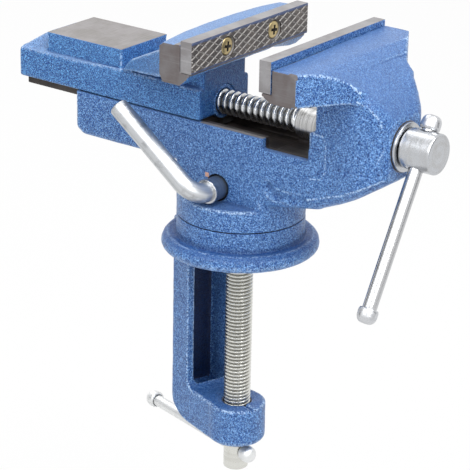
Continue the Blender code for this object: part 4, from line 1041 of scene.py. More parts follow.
def parted_boss(points: np.ndarray) -> np.ndarray:
    """Cuts the mould's parting groove into the top of the clamp boss, and returns the moved points."""
    turn = math.radians(-20.0)
    along = points[:, 0] * math.cos(turn) + points[:, 1] * math.sin(turn)
    across = points[:, 1] * math.cos(turn) - points[:, 0] * math.sin(turn)
    top = np.clip((points[:, 2] + 0.0705) / 0.0015, 0, 1) * (points[:, 2] < -0.0600)
    groove = np.clip(1 - np.abs(across) / 0.00075, 0, 1) * (along > 0.0052)
    lobe = np.clip(across / 0.0008, 0, 1) * np.clip((along - 0.0030) / 0.003, 0, 1)
    points[:, 2] += top * (0.00030 * lobe - 0.00085 * groove)
    radius = np.linalg.norm(points[:, :2], axis=1)
    cove = (radius > 0.02585) & (points[:, 2] > 0.0040) & (points[:, 2] < 0.0092)
    points[:, 2] -= 0.0017 * cove * np.clip((0.0296 - radius) / 0.0037, 0, 1) ** 1.6
    return points


def swivel_casting() -> Casting:
    """Returns the turning body: turntable, bed, housing and fixed jaw."""
    machined, planed, oily_and_shade = (f.value for f in (CastingFinish.MACHINED, CastingFinish.PLANED, CastingFinish.OILY_AND_SHADE))
    axis = (0.0, 0.0, SCREW_AXIS_HEIGHT)
    kept = [
        Region((0.0340, -0.0376, 0.0767), (0.0512, -0.0370, 0.0912), machined, (0, -1, 0)),
        Region((0.0340, 0.0370, 0.0767), (0.0512, 0.0376, 0.0912), machined, (0, 1, 0)),
        Region((0.0340, -0.0376, 0.0800), (0.0405, 0.0376, 0.0904), machined),
        Region((0.0398, -0.0376, 0.0899), (0.0420, 0.0376, 0.0910)),
        Region((-0.0726, -0.0162, 0.0538), (-0.0090, 0.0162, 0.0543)),
        Region((-0.0090, -0.0162, 0.0538), (0.0214, 0.0162, 0.0543), planed, (0, 0, 1)),
        Region((-0.0726, -0.0138, 0.0454), (0.0430, 0.0138, 0.0543), oily_and_shade),
        Bore(axis, (1, 0, 0), 0.0078, 0.0410, 0.0748, oily_and_shade),
        Bore(axis, (1, 0, 0), 0.0099, 0.0749, 0.0754, machined),
        Bore((0, 0, 0), (0, 0, 1), 0.0126, 0.0148, 0.0420, oily_and_shade),
        Region((-0.0270, -0.0270, 0.0148), (0.0270, 0.0270, 0.0154), oily_and_shade, (0, 0, -1)),
        Region((-0.0060, -0.0190, 0.0328), (-0.0045, -0.0120, 0.0342), 4),
        Region((0.0200, -0.0166, 0.0494), (0.0432, -0.0130, 0.0546)),
        Region((0.0200, 0.0130, 0.0494), (0.0432, 0.0166, 0.0546)),
        Bore((0, 0, 0.0294), (0, -1, 0), 0.0054, 0.0110, 0.0170, oily_and_shade),
    ]
    ridges = [
        Ridge([(0.0420, 0.0340), (0.0582, 0.0399), (0.0667, 0.0442), (0.0735, 0.0480)], 0.00024, 0.0009, 0.009),
        Ridge(
            [(0.0245, 0.0348), (0.0262, 0.0330), (0.0290, 0.0320), (0.0340, 0.0320), (0.0400, 0.0328)],
            -0.0012, 0.0034, 0.009,
        ),
        Ridge(
            [(0.0440, 0.0612), (0.0488, 0.0612), (0.0505, 0.0590), (0.0505, 0.0470), (0.0485, 0.0440), (0.0440, 0.0432)],
            0.00022, 0.0007, 0.014,
        ),
        Ridge([(0.0650, 0.0785), (0.0700, 0.0750), (0.0725, 0.0715), (0.0736, 0.0662), (0.0738, 0.0603), (0.0722, 0.0550)], 0.00022, 0.0008, 0.009),
    ]
    return Casting("swivel_body", "swivel", kept, shaped=raised_crown, ridges=ridges)


def slide_casting() -> Casting:
    """Returns the sliding body: slide, nose, anvil and moving jaw."""
    machined, planed, oily_and_shade = (f.value for f in (CastingFinish.MACHINED, CastingFinish.PLANED, CastingFinish.OILY_AND_SHADE))
    axis = (0.0, 0.0, SCREW_AXIS_HEIGHT)
    kept = [
        Region((-0.0900, -0.0150, 0.0748), (-0.0490, 0.0150, 0.0754), planed, (0, 0, 1)),
        Region((-0.0127, -0.0376, 0.0740), (0.0022, -0.0370, 0.0917), machined, (0, -1, 0)),
        Region((-0.0127, 0.0370, 0.0740), (0.0022, 0.0376, 0.0917), machined, (0, 1, 0)),
        Region((-0.0030, -0.0376, 0.0800), (0.0022, 0.0376, 0.0912), machined),
        Region((-0.0052, -0.0376, 0.0911), (-0.0020, 0.0376, 0.0918), planed, (0, 0, 1)),
        Region((-0.1032, -0.0162, 0.0500), (-0.0090, 0.0162, 0.0546), oily_and_shade, (0, 0, -1)),
        Region((-0.1002, -0.0118, 0.0500), (-0.0090, 0.0118, 0.0546), oily_and_shade),
        Region((-0.1032, -0.0162, 0.0500), (-0.0990, 0.0162, 0.0540), oily_and_shade),
        Bore(axis, (1, 0, 0), 0.0068, -0.0990, -0.0096, oily_and_shade),
        Bore(axis, (1, 0, 0), 0.0082, -0.0110, -0.0090),
        # The slide's front face takes the darker paint: painted shade under the plate.
        Region((-0.0100, -0.0160, 0.0530), (-0.0088, 0.0160, 0.0770), CastingFinish.SHADED.value, (1, 0, 0)),
    ]
    return Casting("sliding_jaw", "slide", kept, shaped=hung_wings)


def clamp_casting() -> Casting:
    """Returns the bench part: flange, column, elbow, boss and the pin the body turns on."""
    machined, oily_and_shade = CastingFinish.MACHINED.value, CastingFinish.OILY_AND_SHADE.value
    kept = [
        Bore((0, 0, 0), (0, 0, 1), 0.0126, 0.0147, 0.0410, machined),
        Region((-0.0260, -0.0260, 0.0146), (0.0260, 0.0260, 0.0150), oily_and_shade, (0, 0, 1)),
        Bore((0, 0, 0), (0, 0, -1), 0.0061, 0.0660, 0.0850, oily_and_shade),
        # The pocket's wall facing the screw takes the dark navy paint: painted shade.
        Region((-0.0330, 0.0050, -0.0720), (-0.0240, 0.0185, -0.0020), CastingFinish.SHADED.value, (0.94, -0.34, 0)),
    ]
    return Casting("clamp_base", "clamp", kept, shaped=parted_boss)


# ----------------------------------------------------------------- plates


@dataclass
class JawPlate:
    """A hardened plate with two sets of crossing cuts and two sunk holes."""

    node: str
    body: str
    facing: int
    grid: float = 0.00015
    spacing: float = 0.0027
    cross_spacing: float = 0.0025
    line_half: float = 0.00019
    dull_reach: float = 0.0016
    slope: float = math.radians(26.0)
    cut_half: float = 0.00042
    cut_depth: float = 0.00034
    rim: float = 0.00045
    hole_radius: float = 0.0043
    hole_depth: float = 0.0006
    hole_offset: float = 0.0150
    neck_radius: float = 0.0025

    def height(self, y: np.ndarray, z: np.ndarray, low: Vector, high: Vector) -> tuple[np.ndarray, np.ndarray]:
        """Gives the face's depth and its marks.

        Args:
            y: Places along the jaw.
            z: Heights.
            low: Lowest corner of the plate.
            high: Highest corner.

        Returns:
            The depth below the face, and for each place how near it is to each set of cuts and to the rim.
        """
        middle = (low.z + high.z) / 2
        away = []
        for sign, spacing in ((1, self.spacing), (-1, self.cross_spacing)):
            across = sign * (z - middle) * math.cos(self.slope) - y * math.sin(self.slope)
            away.append(np.abs((across / spacing + 0.5) % 1 - 0.5) * spacing)
        cut = np.maximum(0, 1 - away[0] / self.cut_half) * self.cut_depth
        cut = np.maximum(cut, np.maximum(0, 1 - away[1] / (self.cut_half * 0.7)) * self.cut_depth * 0.6)
        edge = np.minimum(np.minimum(y - low.y, high.y - y), np.minimum(z - low.z, high.z - z))
        rim = np.maximum(0, self.rim - edge) * 0.8
        near = [np.exp(-((d / self.line_half) ** 2)) for d in away]
        upright = np.minimum(z - low.z, high.z - z)
        dull = np.clip(1 - upright / self.dull_reach, 0, 1)
        near[0] = near[0] * (1 - np.clip(near[1] * 1.6, 0, 1))
        return np.maximum(cut, rim), np.stack([near[0], near[1], dull], -1)

    def build(self, finishes: Finishes) -> bpy.types.Object:
        """Makes the plate in place of its node and returns it."""
        low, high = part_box(self.node)
        columns = round((high.y - low.y) / self.grid) + 1
        rows = round((high.z - low.z) / self.grid) + 1
        y, z = np.meshgrid(np.linspace(low.y, high.y, columns), np.linspace(low.z, high.z, rows))
        depth = self.height(y, z, low, high)[0]
        front_x = high.x if self.facing > 0 else low.x
        back_x = low.x if self.facing > 0 else high.x
        front = np.stack([front_x - self.facing * depth, y, z], -1).reshape(-1, 3)
        rim = [(0, j) for j in range(columns)] + [(i, columns - 1) for i in range(1, rows)]
        rim += [(rows - 1, j) for j in range(columns - 2, -1, -1)] + [(i, 0) for i in range(rows - 2, 0, -1)]
        number = [i * columns + j for i, j in rim]
        back = front[number].copy()
        back[:, 0] = back_x
        points = np.concatenate([front, back, [[back_x, (low.y + high.y) / 2, (low.z + high.z) / 2]]])
        i, j = np.meshgrid(np.arange(rows - 1), np.arange(columns - 1), indexing="ij")
        a = i * columns + j
        quads = np.stack([a, a + 1, a + columns + 1, a + columns], -1).reshape(-1, 4)
        faces = [list(q) for q in quads.tolist()]
        start, total = rows * columns, len(number)
        for k in range(total):
            n = (k + 1) % total
            faces.append([number[k], start + k, start + n, number[n]])
            faces.append([start + k, start + total, start + n])
        if self.facing < 0:
            faces = [face[::-1] for face in faces]
        obj = mesh_object(self.node + "_cut", points, faces)
        for side in (-1, 1):
            cut_away(obj, self.hole(front_x, back_x, side * self.hole_offset, (low.z + high.z) / 2))
        spots = vertex_array(obj.data)
        marks = self.height(spots[:, 1], spots[:, 2], low, high)[1]
        store_vector(obj.data, "cuts", marks)
        for material in (finishes.plate, finishes.ground, finishes.smooth_paint, finishes.oily_iron_and_shade):
            obj.data.materials.append(material)
        self.dress(obj.data, front_x, (low.z + high.z) / 2)
        obj.data.shade_smooth()
        obj.data.set_sharp_from_angle(angle=math.radians(50))
        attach(obj, self.body)
        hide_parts(self.node)
        return obj

    def dress(self, data: bpy.types.Mesh, front: float, middle: float) -> None:
        """Gives the ground sides, the painted back and the holes their finish numbers; the hole walls take near-black
        iron as painted shade.

        Args:
            data: The plate's mesh.
            front: Place of its cut face.
            middle: Height of its holes.
        """
        for face in data.polygons:
            spot, normal = face.center, face.normal
            out = math.hypot(abs(spot.y) - self.hole_offset, spot.z - middle)
            if normal.x * self.facing < -0.9:
                face.material_index = 2
            elif out < self.hole_radius + 0.00002:
                # Hole walls take the near-black iron: painted shade.
                face.material_index = 1 if abs(normal.x) > 0.3 else 3
            elif (front - spot.x) * self.facing > self.rim:
                face.material_index = 1
            else:
                face.material_index = 0

    def hole(self, front: float, back: float, y: float, z: float) -> bpy.types.Object:
        """Returns the cutter of one sunk screw hole."""
        thick = abs(front - back)
        over = 0.001
        cone = self.hole_depth + (self.hole_radius - self.neck_radius)
        profile = [
            (-over, 0), (-over, self.hole_radius), (self.hole_depth, self.hole_radius),
            (cone, self.neck_radius), (thick + over, self.neck_radius), (thick + over, 0),
        ]
        cutter = turned("hole", profile, 72)
        return placed(cutter, axis_frame((front, y, z), (-self.facing, 0, 0)))


@dataclass
class PlateScrew:
    """A countersunk cross-head screw of a jaw plate."""

    node: str
    body: str
    facing: int
    head_radius: float = 0.0035
    sunk: float = 0.0001
    dome: float = 0.0003
    rim: float = 0.0006
    neck_radius: float = 0.0020
    cross_half: float = 0.0024
    cross_width: float = 0.00065
    cross_depth: float = 0.0018

    def build(self, finishes: Finishes) -> bpy.types.Object:
        """Makes the screw in place of its node and returns it."""
        low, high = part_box(self.node)
        y, z = (low.y + high.y) / 2, (low.z + high.z) / 2
        face = high.x if self.facing > 0 else low.x
        length = high.x - low.x
        cone = self.head_radius - self.neck_radius
        profile = [
            (self.sunk, 0), (self.sunk, self.head_radius * 0.55), (self.sunk + self.dome, self.head_radius - 0.0003),
            (self.sunk + self.dome + 0.0003, self.head_radius), (self.sunk + self.rim + self.dome, self.head_radius),
            (self.sunk + self.rim + self.dome + cone, self.neck_radius),
            (length - 0.0004, self.neck_radius), (length, self.neck_radius - 0.0006), (length, 0),
        ]
        obj = turned(self.node + "_turned", softened(profile, 0.0003), 64)
        for turn in (0.0, 90.0):
            cut_away(obj, self.blade(math.radians(turn + 8)))
        obj = placed(obj, axis_frame((face, y, z), (-self.facing, 0, 0)))
        obj.data.materials.append(finishes.brass)
        obj.data.materials.append(finishes.oily_iron_and_shade)
        # Faces deep in the cross recess take the near-black iron: painted shade.
        for part in obj.data.polygons:
            out = math.hypot(part.center.y - y, part.center.z - z)
            deep = (face - part.center.x) * self.facing
            part.material_index = int(out < self.cross_half and deep > self.sunk + 0.0002)
        crisp(obj)
        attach(obj, self.body)
        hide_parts(self.node)
        return obj

    def blade(self, turn: float) -> bpy.types.Object:
        """Returns one tapered blade of the cross cutter."""
        points, faces = [], [(0, 1, 2, 3), (7, 6, 5, 4), (0, 4, 5, 1), (1, 5, 6, 2), (2, 6, 7, 3), (3, 7, 4, 0)]
        for depth, half, wide in ((-0.0005, self.cross_half, self.cross_width), (self.cross_depth + self.sunk, self.cross_half * 0.35, self.cross_width * 0.7)):
            for a, b in ((-1, -1), (1, -1), (1, 1), (-1, 1)):
                y, z = a * half, b * wide
                points.append((depth, y * math.cos(turn) - z * math.sin(turn), y * math.sin(turn) + z * math.cos(turn)))
        obj = mesh_object("blade", points, faces)
        work = bmesh.new()
        work.from_mesh(obj.data)
        bmesh.ops.recalc_face_normals(work, faces=work.faces)
        work.to_mesh(obj.data)
        work.free()
        return obj


# ---------------------------------------------------------------- screws


@dataclass
class ThreadedRod:
    """A turned rod whose outline carries a thread between two places."""

    name: str
    outline: Profile
    thread_start: float
    thread_end: float
    radius: float
    pitch: float
    depth: float
    crest: float = 0.20
    root: float = 0.06
    runout: float = 0.002
    rows_per_turn: int = 20
    sides: int = 72

    def rows(self) -> list[tuple[float, float]]:
        """Returns the outline with close rows where the thread is."""
        made = []
        count = round((self.thread_end - self.thread_start) / self.pitch * self.rows_per_turn)
        done = False
        for along, radius in self.outline:
            if along < self.thread_start or (done and along > self.thread_end):
                made.append((along, radius))
            elif not done:
                done = True
                for i in range(count + 1):
                    made.append((self.thread_start + (self.thread_end - self.thread_start) * i / count, self.radius))
        return made

    def build(self) -> bpy.types.Object:
        """Returns the rod along its own X axis."""
        rows = self.rows()
        turn = np.arange(self.sides) * math.tau / self.sides
        rings = np.empty((len(rows), self.sides, 3))
        for ring, (along, radius) in zip(rings, rows):
            size = np.full(self.sides, radius)
            if self.thread_start - TINY <= along <= self.thread_end + TINY:
                phase = np.abs((along / self.pitch - turn / math.tau) % 1 - 0.5) * 2
                flank = np.clip((phase - self.crest) / (1 - self.crest - self.root), 0, 1)
                flank = flank * flank * (3 - 2 * flank)
                near = min(along - self.thread_start, self.thread_end - along) / self.runout
                size = size - flank * self.depth * min(1.0, max(0.0, near))
            ring[:, 0] = along
            ring[:, 1] = size * np.cos(turn)
            ring[:, 2] = size * np.sin(turn)
        obj = tube_from_rings(self.name, rings)
        add_lathe_marks(obj)
        return obj


@dataclass
class MainScrew:
    """The main screw with its head, thrust washer, collar and collar pin."""

    start: float = -0.0660
    thread_end: float = 0.0287
    radius: float = 0.0050
    pitch: float = 0.0030
    depth: float = 0.0015
    neck_end: float = 0.0769
    head_end: float = 0.0902
    head_radius: float = 0.0079
    head_edge: float = 0.0009
    bar_place: float = 0.0828
    bar_hole: float = 0.00305
    bar_angle: float = math.radians(30.4)
    washer_radius: float = 0.0096
    collar_radius: float = 0.0063
    bore_radius: float = 0.00525
    lip_bore: float = 0.0054
    lip_radius: float = 0.00678
    neck_face: float = -0.0095

    def build(self, finishes: Finishes) -> list[bpy.types.Object]:
        """Makes the pieces in place of their nodes and returns them."""
        return [self.screw(finishes), self.washer(finishes), self.collar(finishes), self.pin(finishes), self.lip(finishes)]

    def lip(self, finishes: Finishes) -> bpy.types.Object:
        """Returns the painted lip that closes the slide's bore round the screw."""
        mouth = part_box("lead_nut")[1].x
        start, end = mouth + 0.0002, self.neck_face - 0.00005
        outline = softened(
            [(end - 0.001, self.lip_bore), (start, self.lip_bore), (start, self.lip_radius), (end, self.lip_radius),
             (end, self.lip_bore), (end - 0.00099, self.lip_bore)],
            0.00006, 2,
        )
        obj = self.at_axis(turned("slide_bore_lip", outline, 72, closed=True))
        obj.data.materials.append(finishes.smooth_paint)
        crisp(obj)
        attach(obj, "slide")
        return obj

    def at_axis(self, obj: bpy.types.Object) -> bpy.types.Object:
        """Lifts a piece drawn along X onto the screw's axis."""
        return placed(obj, Matrix.Translation((0, 0, SCREW_AXIS_HEIGHT)))

    def screw(self, finishes: Finishes) -> bpy.types.Object:
        """Returns the screw itself, thread, neck and head in one piece."""
        head = softened(
            [
                (self.neck_end, self.radius), (self.neck_end, self.head_radius),
                (self.head_end, self.head_radius), (self.head_end, 0.0001),
            ],
            self.head_edge, 5,
        )
        outline = [(self.start, 0.0032), (self.start + 0.0008, self.radius - self.depth * 0.3)]
        outline += [(self.thread_end, self.radius), (self.thread_end + 0.0001, self.radius)] + head
        rod = ThreadedRod(
            "main_screw_turned", outline, self.start + 0.0009, self.thread_end, self.radius, self.pitch, self.depth
        )
        obj = rod.build()
        way = Vector((0, math.sin(self.bar_angle), math.cos(self.bar_angle)))
        half = self.head_radius + 0.002
        hole = turned("hole", [(-half, 0), (-half, self.bar_hole), (half, self.bar_hole), (half, 0)], 64)
        cut_away(obj, placed(hole, axis_frame((self.bar_place, 0, 0), way)))
        add_lathe_marks(obj)
        self.at_axis(obj)
        obj.data.materials.append(finishes.thread)
        obj.data.materials.append(finishes.head)
        for face in obj.data.polygons:
            face.material_index = int(face.center.x > self.thread_end)
        crisp(obj, 40)
        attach(obj, "main_screw")
        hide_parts("main_screw")
        return obj

    def ring(self, node: str, body: str, radius: float, edge: float, material: bpy.types.Material) -> bpy.types.Object:
        """Returns a bored ring in place of a node.

        Args:
            node: The node it stands for.
            body: The body it rides on.
            radius: Its outer radius.
            edge: Round of its corners.
            material: Its finish.
        """
        low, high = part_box(node)
        middle = (low.x + high.x) / 2
        outer = softened(
            [(middle, self.bore_radius), (low.x, self.bore_radius), (low.x, radius), (high.x, radius),
             (high.x, self.bore_radius), (middle + 0.00001, self.bore_radius)],
            edge, 4,
        )
        obj = self.at_axis(turned(node + "_turned", outer, 80, closed=True))
        obj.data.materials.append(material)
        crisp(obj)
        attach(obj, body)
        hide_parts(node)
        return obj

    def washer(self, finishes: Finishes) -> bpy.types.Object:
        """Returns the thrust washer."""
        return self.ring("thrust_washer", "main_screw", self.washer_radius, 0.0003, finishes.head)

    def collar(self, finishes: Finishes) -> bpy.types.Object:
        """Returns the collar that holds the screw endways."""
        return self.ring("retaining_collar", "main_screw", self.collar_radius, 0.0005, finishes.collar)

    def pin(self, finishes: Finishes) -> bpy.types.Object:
        """Returns the pin through the collar."""
        low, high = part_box("collar_pin")
        radius = (high.x - low.x) / 2
        middle = (low + high) / 2
        path, radii = rounded_end_path(
            Vector((middle.x, middle.y, low.z)), Vector((middle.x, middle.y, high.z)), radius, 0.0003
        )
        obj = swept("collar_pin_drawn", path, radii, 32)
        obj.data.materials.append(finishes.stem)
        crisp(obj)
        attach(obj, "main_screw")
        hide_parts("collar_pin")
        return obj


@dataclass
class TommyBar:
    """A bar that slides in a screw's cross hole, with a pressed cap on each end."""

    bar_node: str
    cap_nodes: tuple[str, str]
    body: str
    radius: float
    cap_radius: float
    cap_length: float
    bar_finish: str = "drawn"
    cap_finish: str = "cap"
    overlap: float = 0.0004

    def build(self, finishes: Finishes) -> list[bpy.types.Object]:
        """Makes the bar and its caps in place of their nodes and returns them."""
        first, second = (self.middle(node) for node in self.cap_nodes)
        way = (second - first).normalized()
        inset = self.cap_length / 2 - 0.0003
        path, radii = rounded_end_path(first + way * inset, second - way * inset, self.radius, 0.0002, 60)
        bar = swept(self.bar_node + "_drawn", path, radii, 44)
        bar.data.materials.append(getattr(finishes, self.bar_finish))
        pieces = [self.fixed(bar, self.bar_node)]
        for node, spot, out in ((self.cap_nodes[0], first, -way), (self.cap_nodes[1], second, way)):
            pieces.append(self.cap(node, spot, out, finishes))
        return pieces

    def middle(self, node: str) -> Vector:
        """Returns the middle of a node's box."""
        low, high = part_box(node)
        return (low + high) / 2

    def fixed(self, obj: bpy.types.Object, node: str) -> bpy.types.Object:
        """Lets a piece ride on the bar's body in place of a node, and returns it."""
        crisp(obj)
        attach(obj, self.body)
        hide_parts(node)
        return obj

    def cap(self, node: str, spot: Vector, out: Vector, finishes: Finishes) -> bpy.types.Object:
        """Returns one cap.

        Args:
            node: The node it stands for.
            spot: Its middle.
            out: Direction of its closed end.
            finishes: The finishes to dress it with.
        """
        half = self.cap_length / 2
        bore = self.radius + 0.0001
        foot = [
            (-half + 0.0012, 0.0001), (-half + 0.0012, bore), (-half, bore + 0.0001), (-half, self.cap_radius * 0.9),
            (-half + 0.0009, self.cap_radius), (-half + self.cap_length * 0.3, self.cap_radius),
        ]
        profile = softened(foot, 0.0004, 3)
        for i in range(1, 15):
            turn = math.pi / 2 * i / 14
            rise = math.sin(turn) ** 0.8
            along = -half + self.cap_length * (0.3 + 0.7 * rise)
            profile.append((along, max(0.0001, self.cap_radius * math.cos(turn) ** 0.62)))
        obj = turned(node + "_pressed", profile, 56)
        placed(obj, axis_frame(spot, out))
        obj.data.materials.append(getattr(finishes, self.cap_finish))
        return self.fixed(obj, node)


@dataclass
class LockHandle:
    """The bent handle that locks the turntable: bar, ring and stem."""

    height: float = 0.0294
    ring_y: float = -0.0220
    ring_length: float = 0.0012
    ring_radius: float = 0.0050
    stem_radius: float = 0.0047
    stem_end: float = -0.0105
    tip_radius: float = 0.0036
    tip_length: float = 0.0030
    plane_y: float = -0.0307
    bar_radius: float = 0.0039
    bend_radius: float = 0.0075
    bar_length: float = 0.0480
    angle: float = math.radians(142.7)
    end_edge: float = 0.0009
    bend_steps: int = 22
    bar_rows: int = 40

    def build(self, finishes: Finishes) -> list[bpy.types.Object]:
        """Makes the handle's pieces in place of its node and returns them."""
        bar = swept("lock_handle_bar", *self.route(), 48)
        bar.data.materials.append(finishes.handle)
        ring = self.turned_on_stem("lock_handle_ring", self.ring_outline(), finishes.head)
        stem = self.turned_on_stem("lock_handle_stem", self.stem_outline(), finishes.stem)
        for obj in (bar, ring, stem):
            crisp(obj)
            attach(obj, "lock")
        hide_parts("lock_handle")
        return [bar, ring, stem]

    def route(self) -> tuple[list[Vector], list[float]]:
        """Returns the bar's path and radii, from the ring round the bend to the blunt end."""
        out = Vector((math.cos(self.angle), 0, math.sin(self.angle)))
        base = Vector((0, 0, self.height))
        path = [base + Vector((0, self.ring_y, 0))]
        centre = base + Vector((0, self.plane_y + self.bend_radius, 0)) + out * self.bend_radius
        for i in range(self.bend_steps + 1):
            turn = math.pi / 2 * i / self.bend_steps
            inward = -out * math.cos(turn) - Vector((0, 1, 0)) * math.sin(turn)
            path.append(centre + inward * self.bend_radius)
        start = path[-1]
        tip = base + Vector((0, self.plane_y, 0)) + out * self.bar_length
        for i in range(1, self.bar_rows):
            path.append(start.lerp(tip - out * self.end_edge, i / self.bar_rows))
        radii = [self.bar_radius] * len(path)
        for degrees in (0, 25, 50, 72, 90):
            turn = math.radians(degrees)
            path.append(tip - out * self.end_edge * (1 - math.sin(turn)))
            radii.append(self.bar_radius - self.end_edge * (1 - math.cos(turn)) * 1.3)
        return path, radii

    def ring_outline(self) -> Profile:
        """Returns the ring's outline along the stem, from outside in."""
        start = -self.ring_y - self.ring_length * 0
        return softened(
            [(start, 0.0001), (start, self.ring_radius), (start + self.ring_length, self.ring_radius), (start + self.ring_length, 0.0001)],
            0.00045, 4,
        )

    def stem_outline(self) -> Profile:
        """Returns the stem's outline from its tip out to the ring."""
        tip, ring = -self.stem_end, -self.ring_y
        return softened(
            [
                (tip, 0.0001), (tip, self.tip_radius), (tip + self.tip_length, self.tip_radius),
                (tip + self.tip_length + 0.001, self.stem_radius), (ring + 0.0002, self.stem_radius), (ring + 0.0002, 0.0001),
            ],
            0.0003, 3,
        )

    def turned_on_stem(self, name: str, outline: Profile, material: bpy.types.Material) -> bpy.types.Object:
        """Returns a piece turned on the stem's axis, which points to the front."""
        obj = turned(name, outline, 64)
        placed(obj, axis_frame((0, 0, self.height), (0, -1, 0)))
        obj.data.materials.append(material)
        return obj


@dataclass
class ClampScrew:
    """The clamp screw and the pad on its top."""

    low: float = -0.0980
    thread_low: float = -0.0840
    thread_top: float = -0.0093
    top: float = -0.0063
    radius: float = 0.0055
    foot_radius: float = 0.0051
    tenon_radius: float = 0.0032
    pitch: float = 0.0015
    depth: float = 0.0009
    bar_height: float = -0.0900
    bar_hole: float = 0.0026

    def build(self, finishes: Finishes) -> list[bpy.types.Object]:
        """Makes the screw and pad in place of their nodes and returns them."""
        return [self.screw(finishes), self.pad(finishes)]

    def screw(self, finishes: Finishes) -> bpy.types.Object:
        """Returns the clamp screw, upright."""
        foot = softened(
            [(self.low, 0.0001), (self.low, self.foot_radius), (self.thread_low - 0.0012, self.foot_radius)], 0.0007, 5
        )
        tenon = softened(
            [(self.thread_top + 0.0001, self.tenon_radius), (self.top, self.tenon_radius), (self.top, 0.0001)], 0.0003
        )
        outline = foot + [(self.thread_low, self.radius - self.depth)] + [(self.thread_top, self.radius)] + tenon
        rod = ThreadedRod(
            "clamp_screw_turned", outline, self.thread_low + 0.0001, self.thread_top, self.radius, self.pitch,
            self.depth, crest=0.22, root=0.12, runout=0.0006, rows_per_turn=16, sides=64,
        )
        obj = rod.build()
        ends = [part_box(f"clamp_bar_cap_{side}") for side in ("near", "far")]
        first, second = ((low + high) / 2 for low, high in ends)
        half = self.foot_radius + 0.002
        hole = turned("hole", [(-half, 0), (-half, self.bar_hole), (half, self.bar_hole), (half, 0)], 56)
        upright = axis_frame((0, 0, 0), (0, 0, 1))
        placed(obj, upright)
        cut_away(obj, placed(hole, axis_frame((0, 0, self.bar_height), first - second)))
        placed(obj, upright.inverted())
        add_lathe_marks(obj)
        placed(obj, upright)
        obj.data.materials.append(finishes.fine_thread)
        crisp(obj, 40)
        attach(obj, "clamp_screw")
        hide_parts("clamp_screw")
        return obj

    def pad(self, finishes: Finishes) -> bpy.types.Object:
        """Returns the swivel pad."""
        low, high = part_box("clamp_pad")
        bore = self.tenon_radius + 0.0003
        top, foot = high.z, low.z
        outline = [
            (self.top + 0.0003, 0.0001), (self.top + 0.0003, bore), (foot, bore), (foot, 0.0065),
            (top - 0.0028, 0.0065), (top - 0.0026, 0.0100), (top, 0.0100), (top, 0.0001),
        ]
        obj = turned("clamp_pad_turned", softened(outline, 0.0004), 64)
        placed(obj, axis_frame((0, 0, 0), (0, 0, 1)))
        obj.data.materials.append(finishes.head)
        crisp(obj)
        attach(obj, "clamp_pad")
        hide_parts("clamp_pad")
        return obj


# ---------------------------------------------------------------- studio


@dataclass
class Lamp:
    """A soft square lamp aimed at the vise."""

    name: str
    place: Point
    size: float
    power: float
    target: Point = (0.0, 0.0, 0.02)

    def build(self) -> bpy.types.Object:
        """Makes the lamp and returns it."""
        data = bpy.data.lights.new(self.name, "AREA")
        data.shape = "SQUARE"
        data.size = self.size
        data.energy = self.power
        obj = bpy.data.objects.new(self.name, data)
        bpy.context.scene.collection.objects.link(obj)
        way = Vector(self.target) - Vector(self.place)
        obj.matrix_world = Matrix.Translation(self.place) @ way.to_track_quat("-Z", "Y").to_matrix().to_4x4()
        return obj


@dataclass
class Board:
    """A dark upright board that only shows in shiny metal."""

    name: str
    azimuth: float
    distance: float
    width: float
    height: float
    lift: float
    tone: Colour = (0.05, 0.055, 0.065)

    def build(self) -> bpy.types.Object:
        """Makes the board and returns it."""
        turn = math.radians(self.azimuth)
        out = Vector((math.sin(turn), -math.cos(turn), 0))
        side = Vector((math.cos(turn), math.sin(turn), 0)) * (self.width / 2)
        rise = Vector((0, 0, self.height / 2))
        middle = out * self.distance + Vector((0, 0, self.lift))
        corners = [middle - side - rise, middle + side - rise, middle + side + rise, middle - side + rise]
        obj = mesh_object(self.name, corners, [(0, 1, 2, 3)])
        material = bpy.data.materials.new(self.name)
        material.use_nodes = True
        material.node_tree.nodes["Principled BSDF"].inputs["Base Color"].default_value = (*self.tone, 1)
        obj.data.materials.append(material)
        obj.visible_camera = False
        obj.visible_diffuse = False
        obj.visible_shadow = False
        return obj


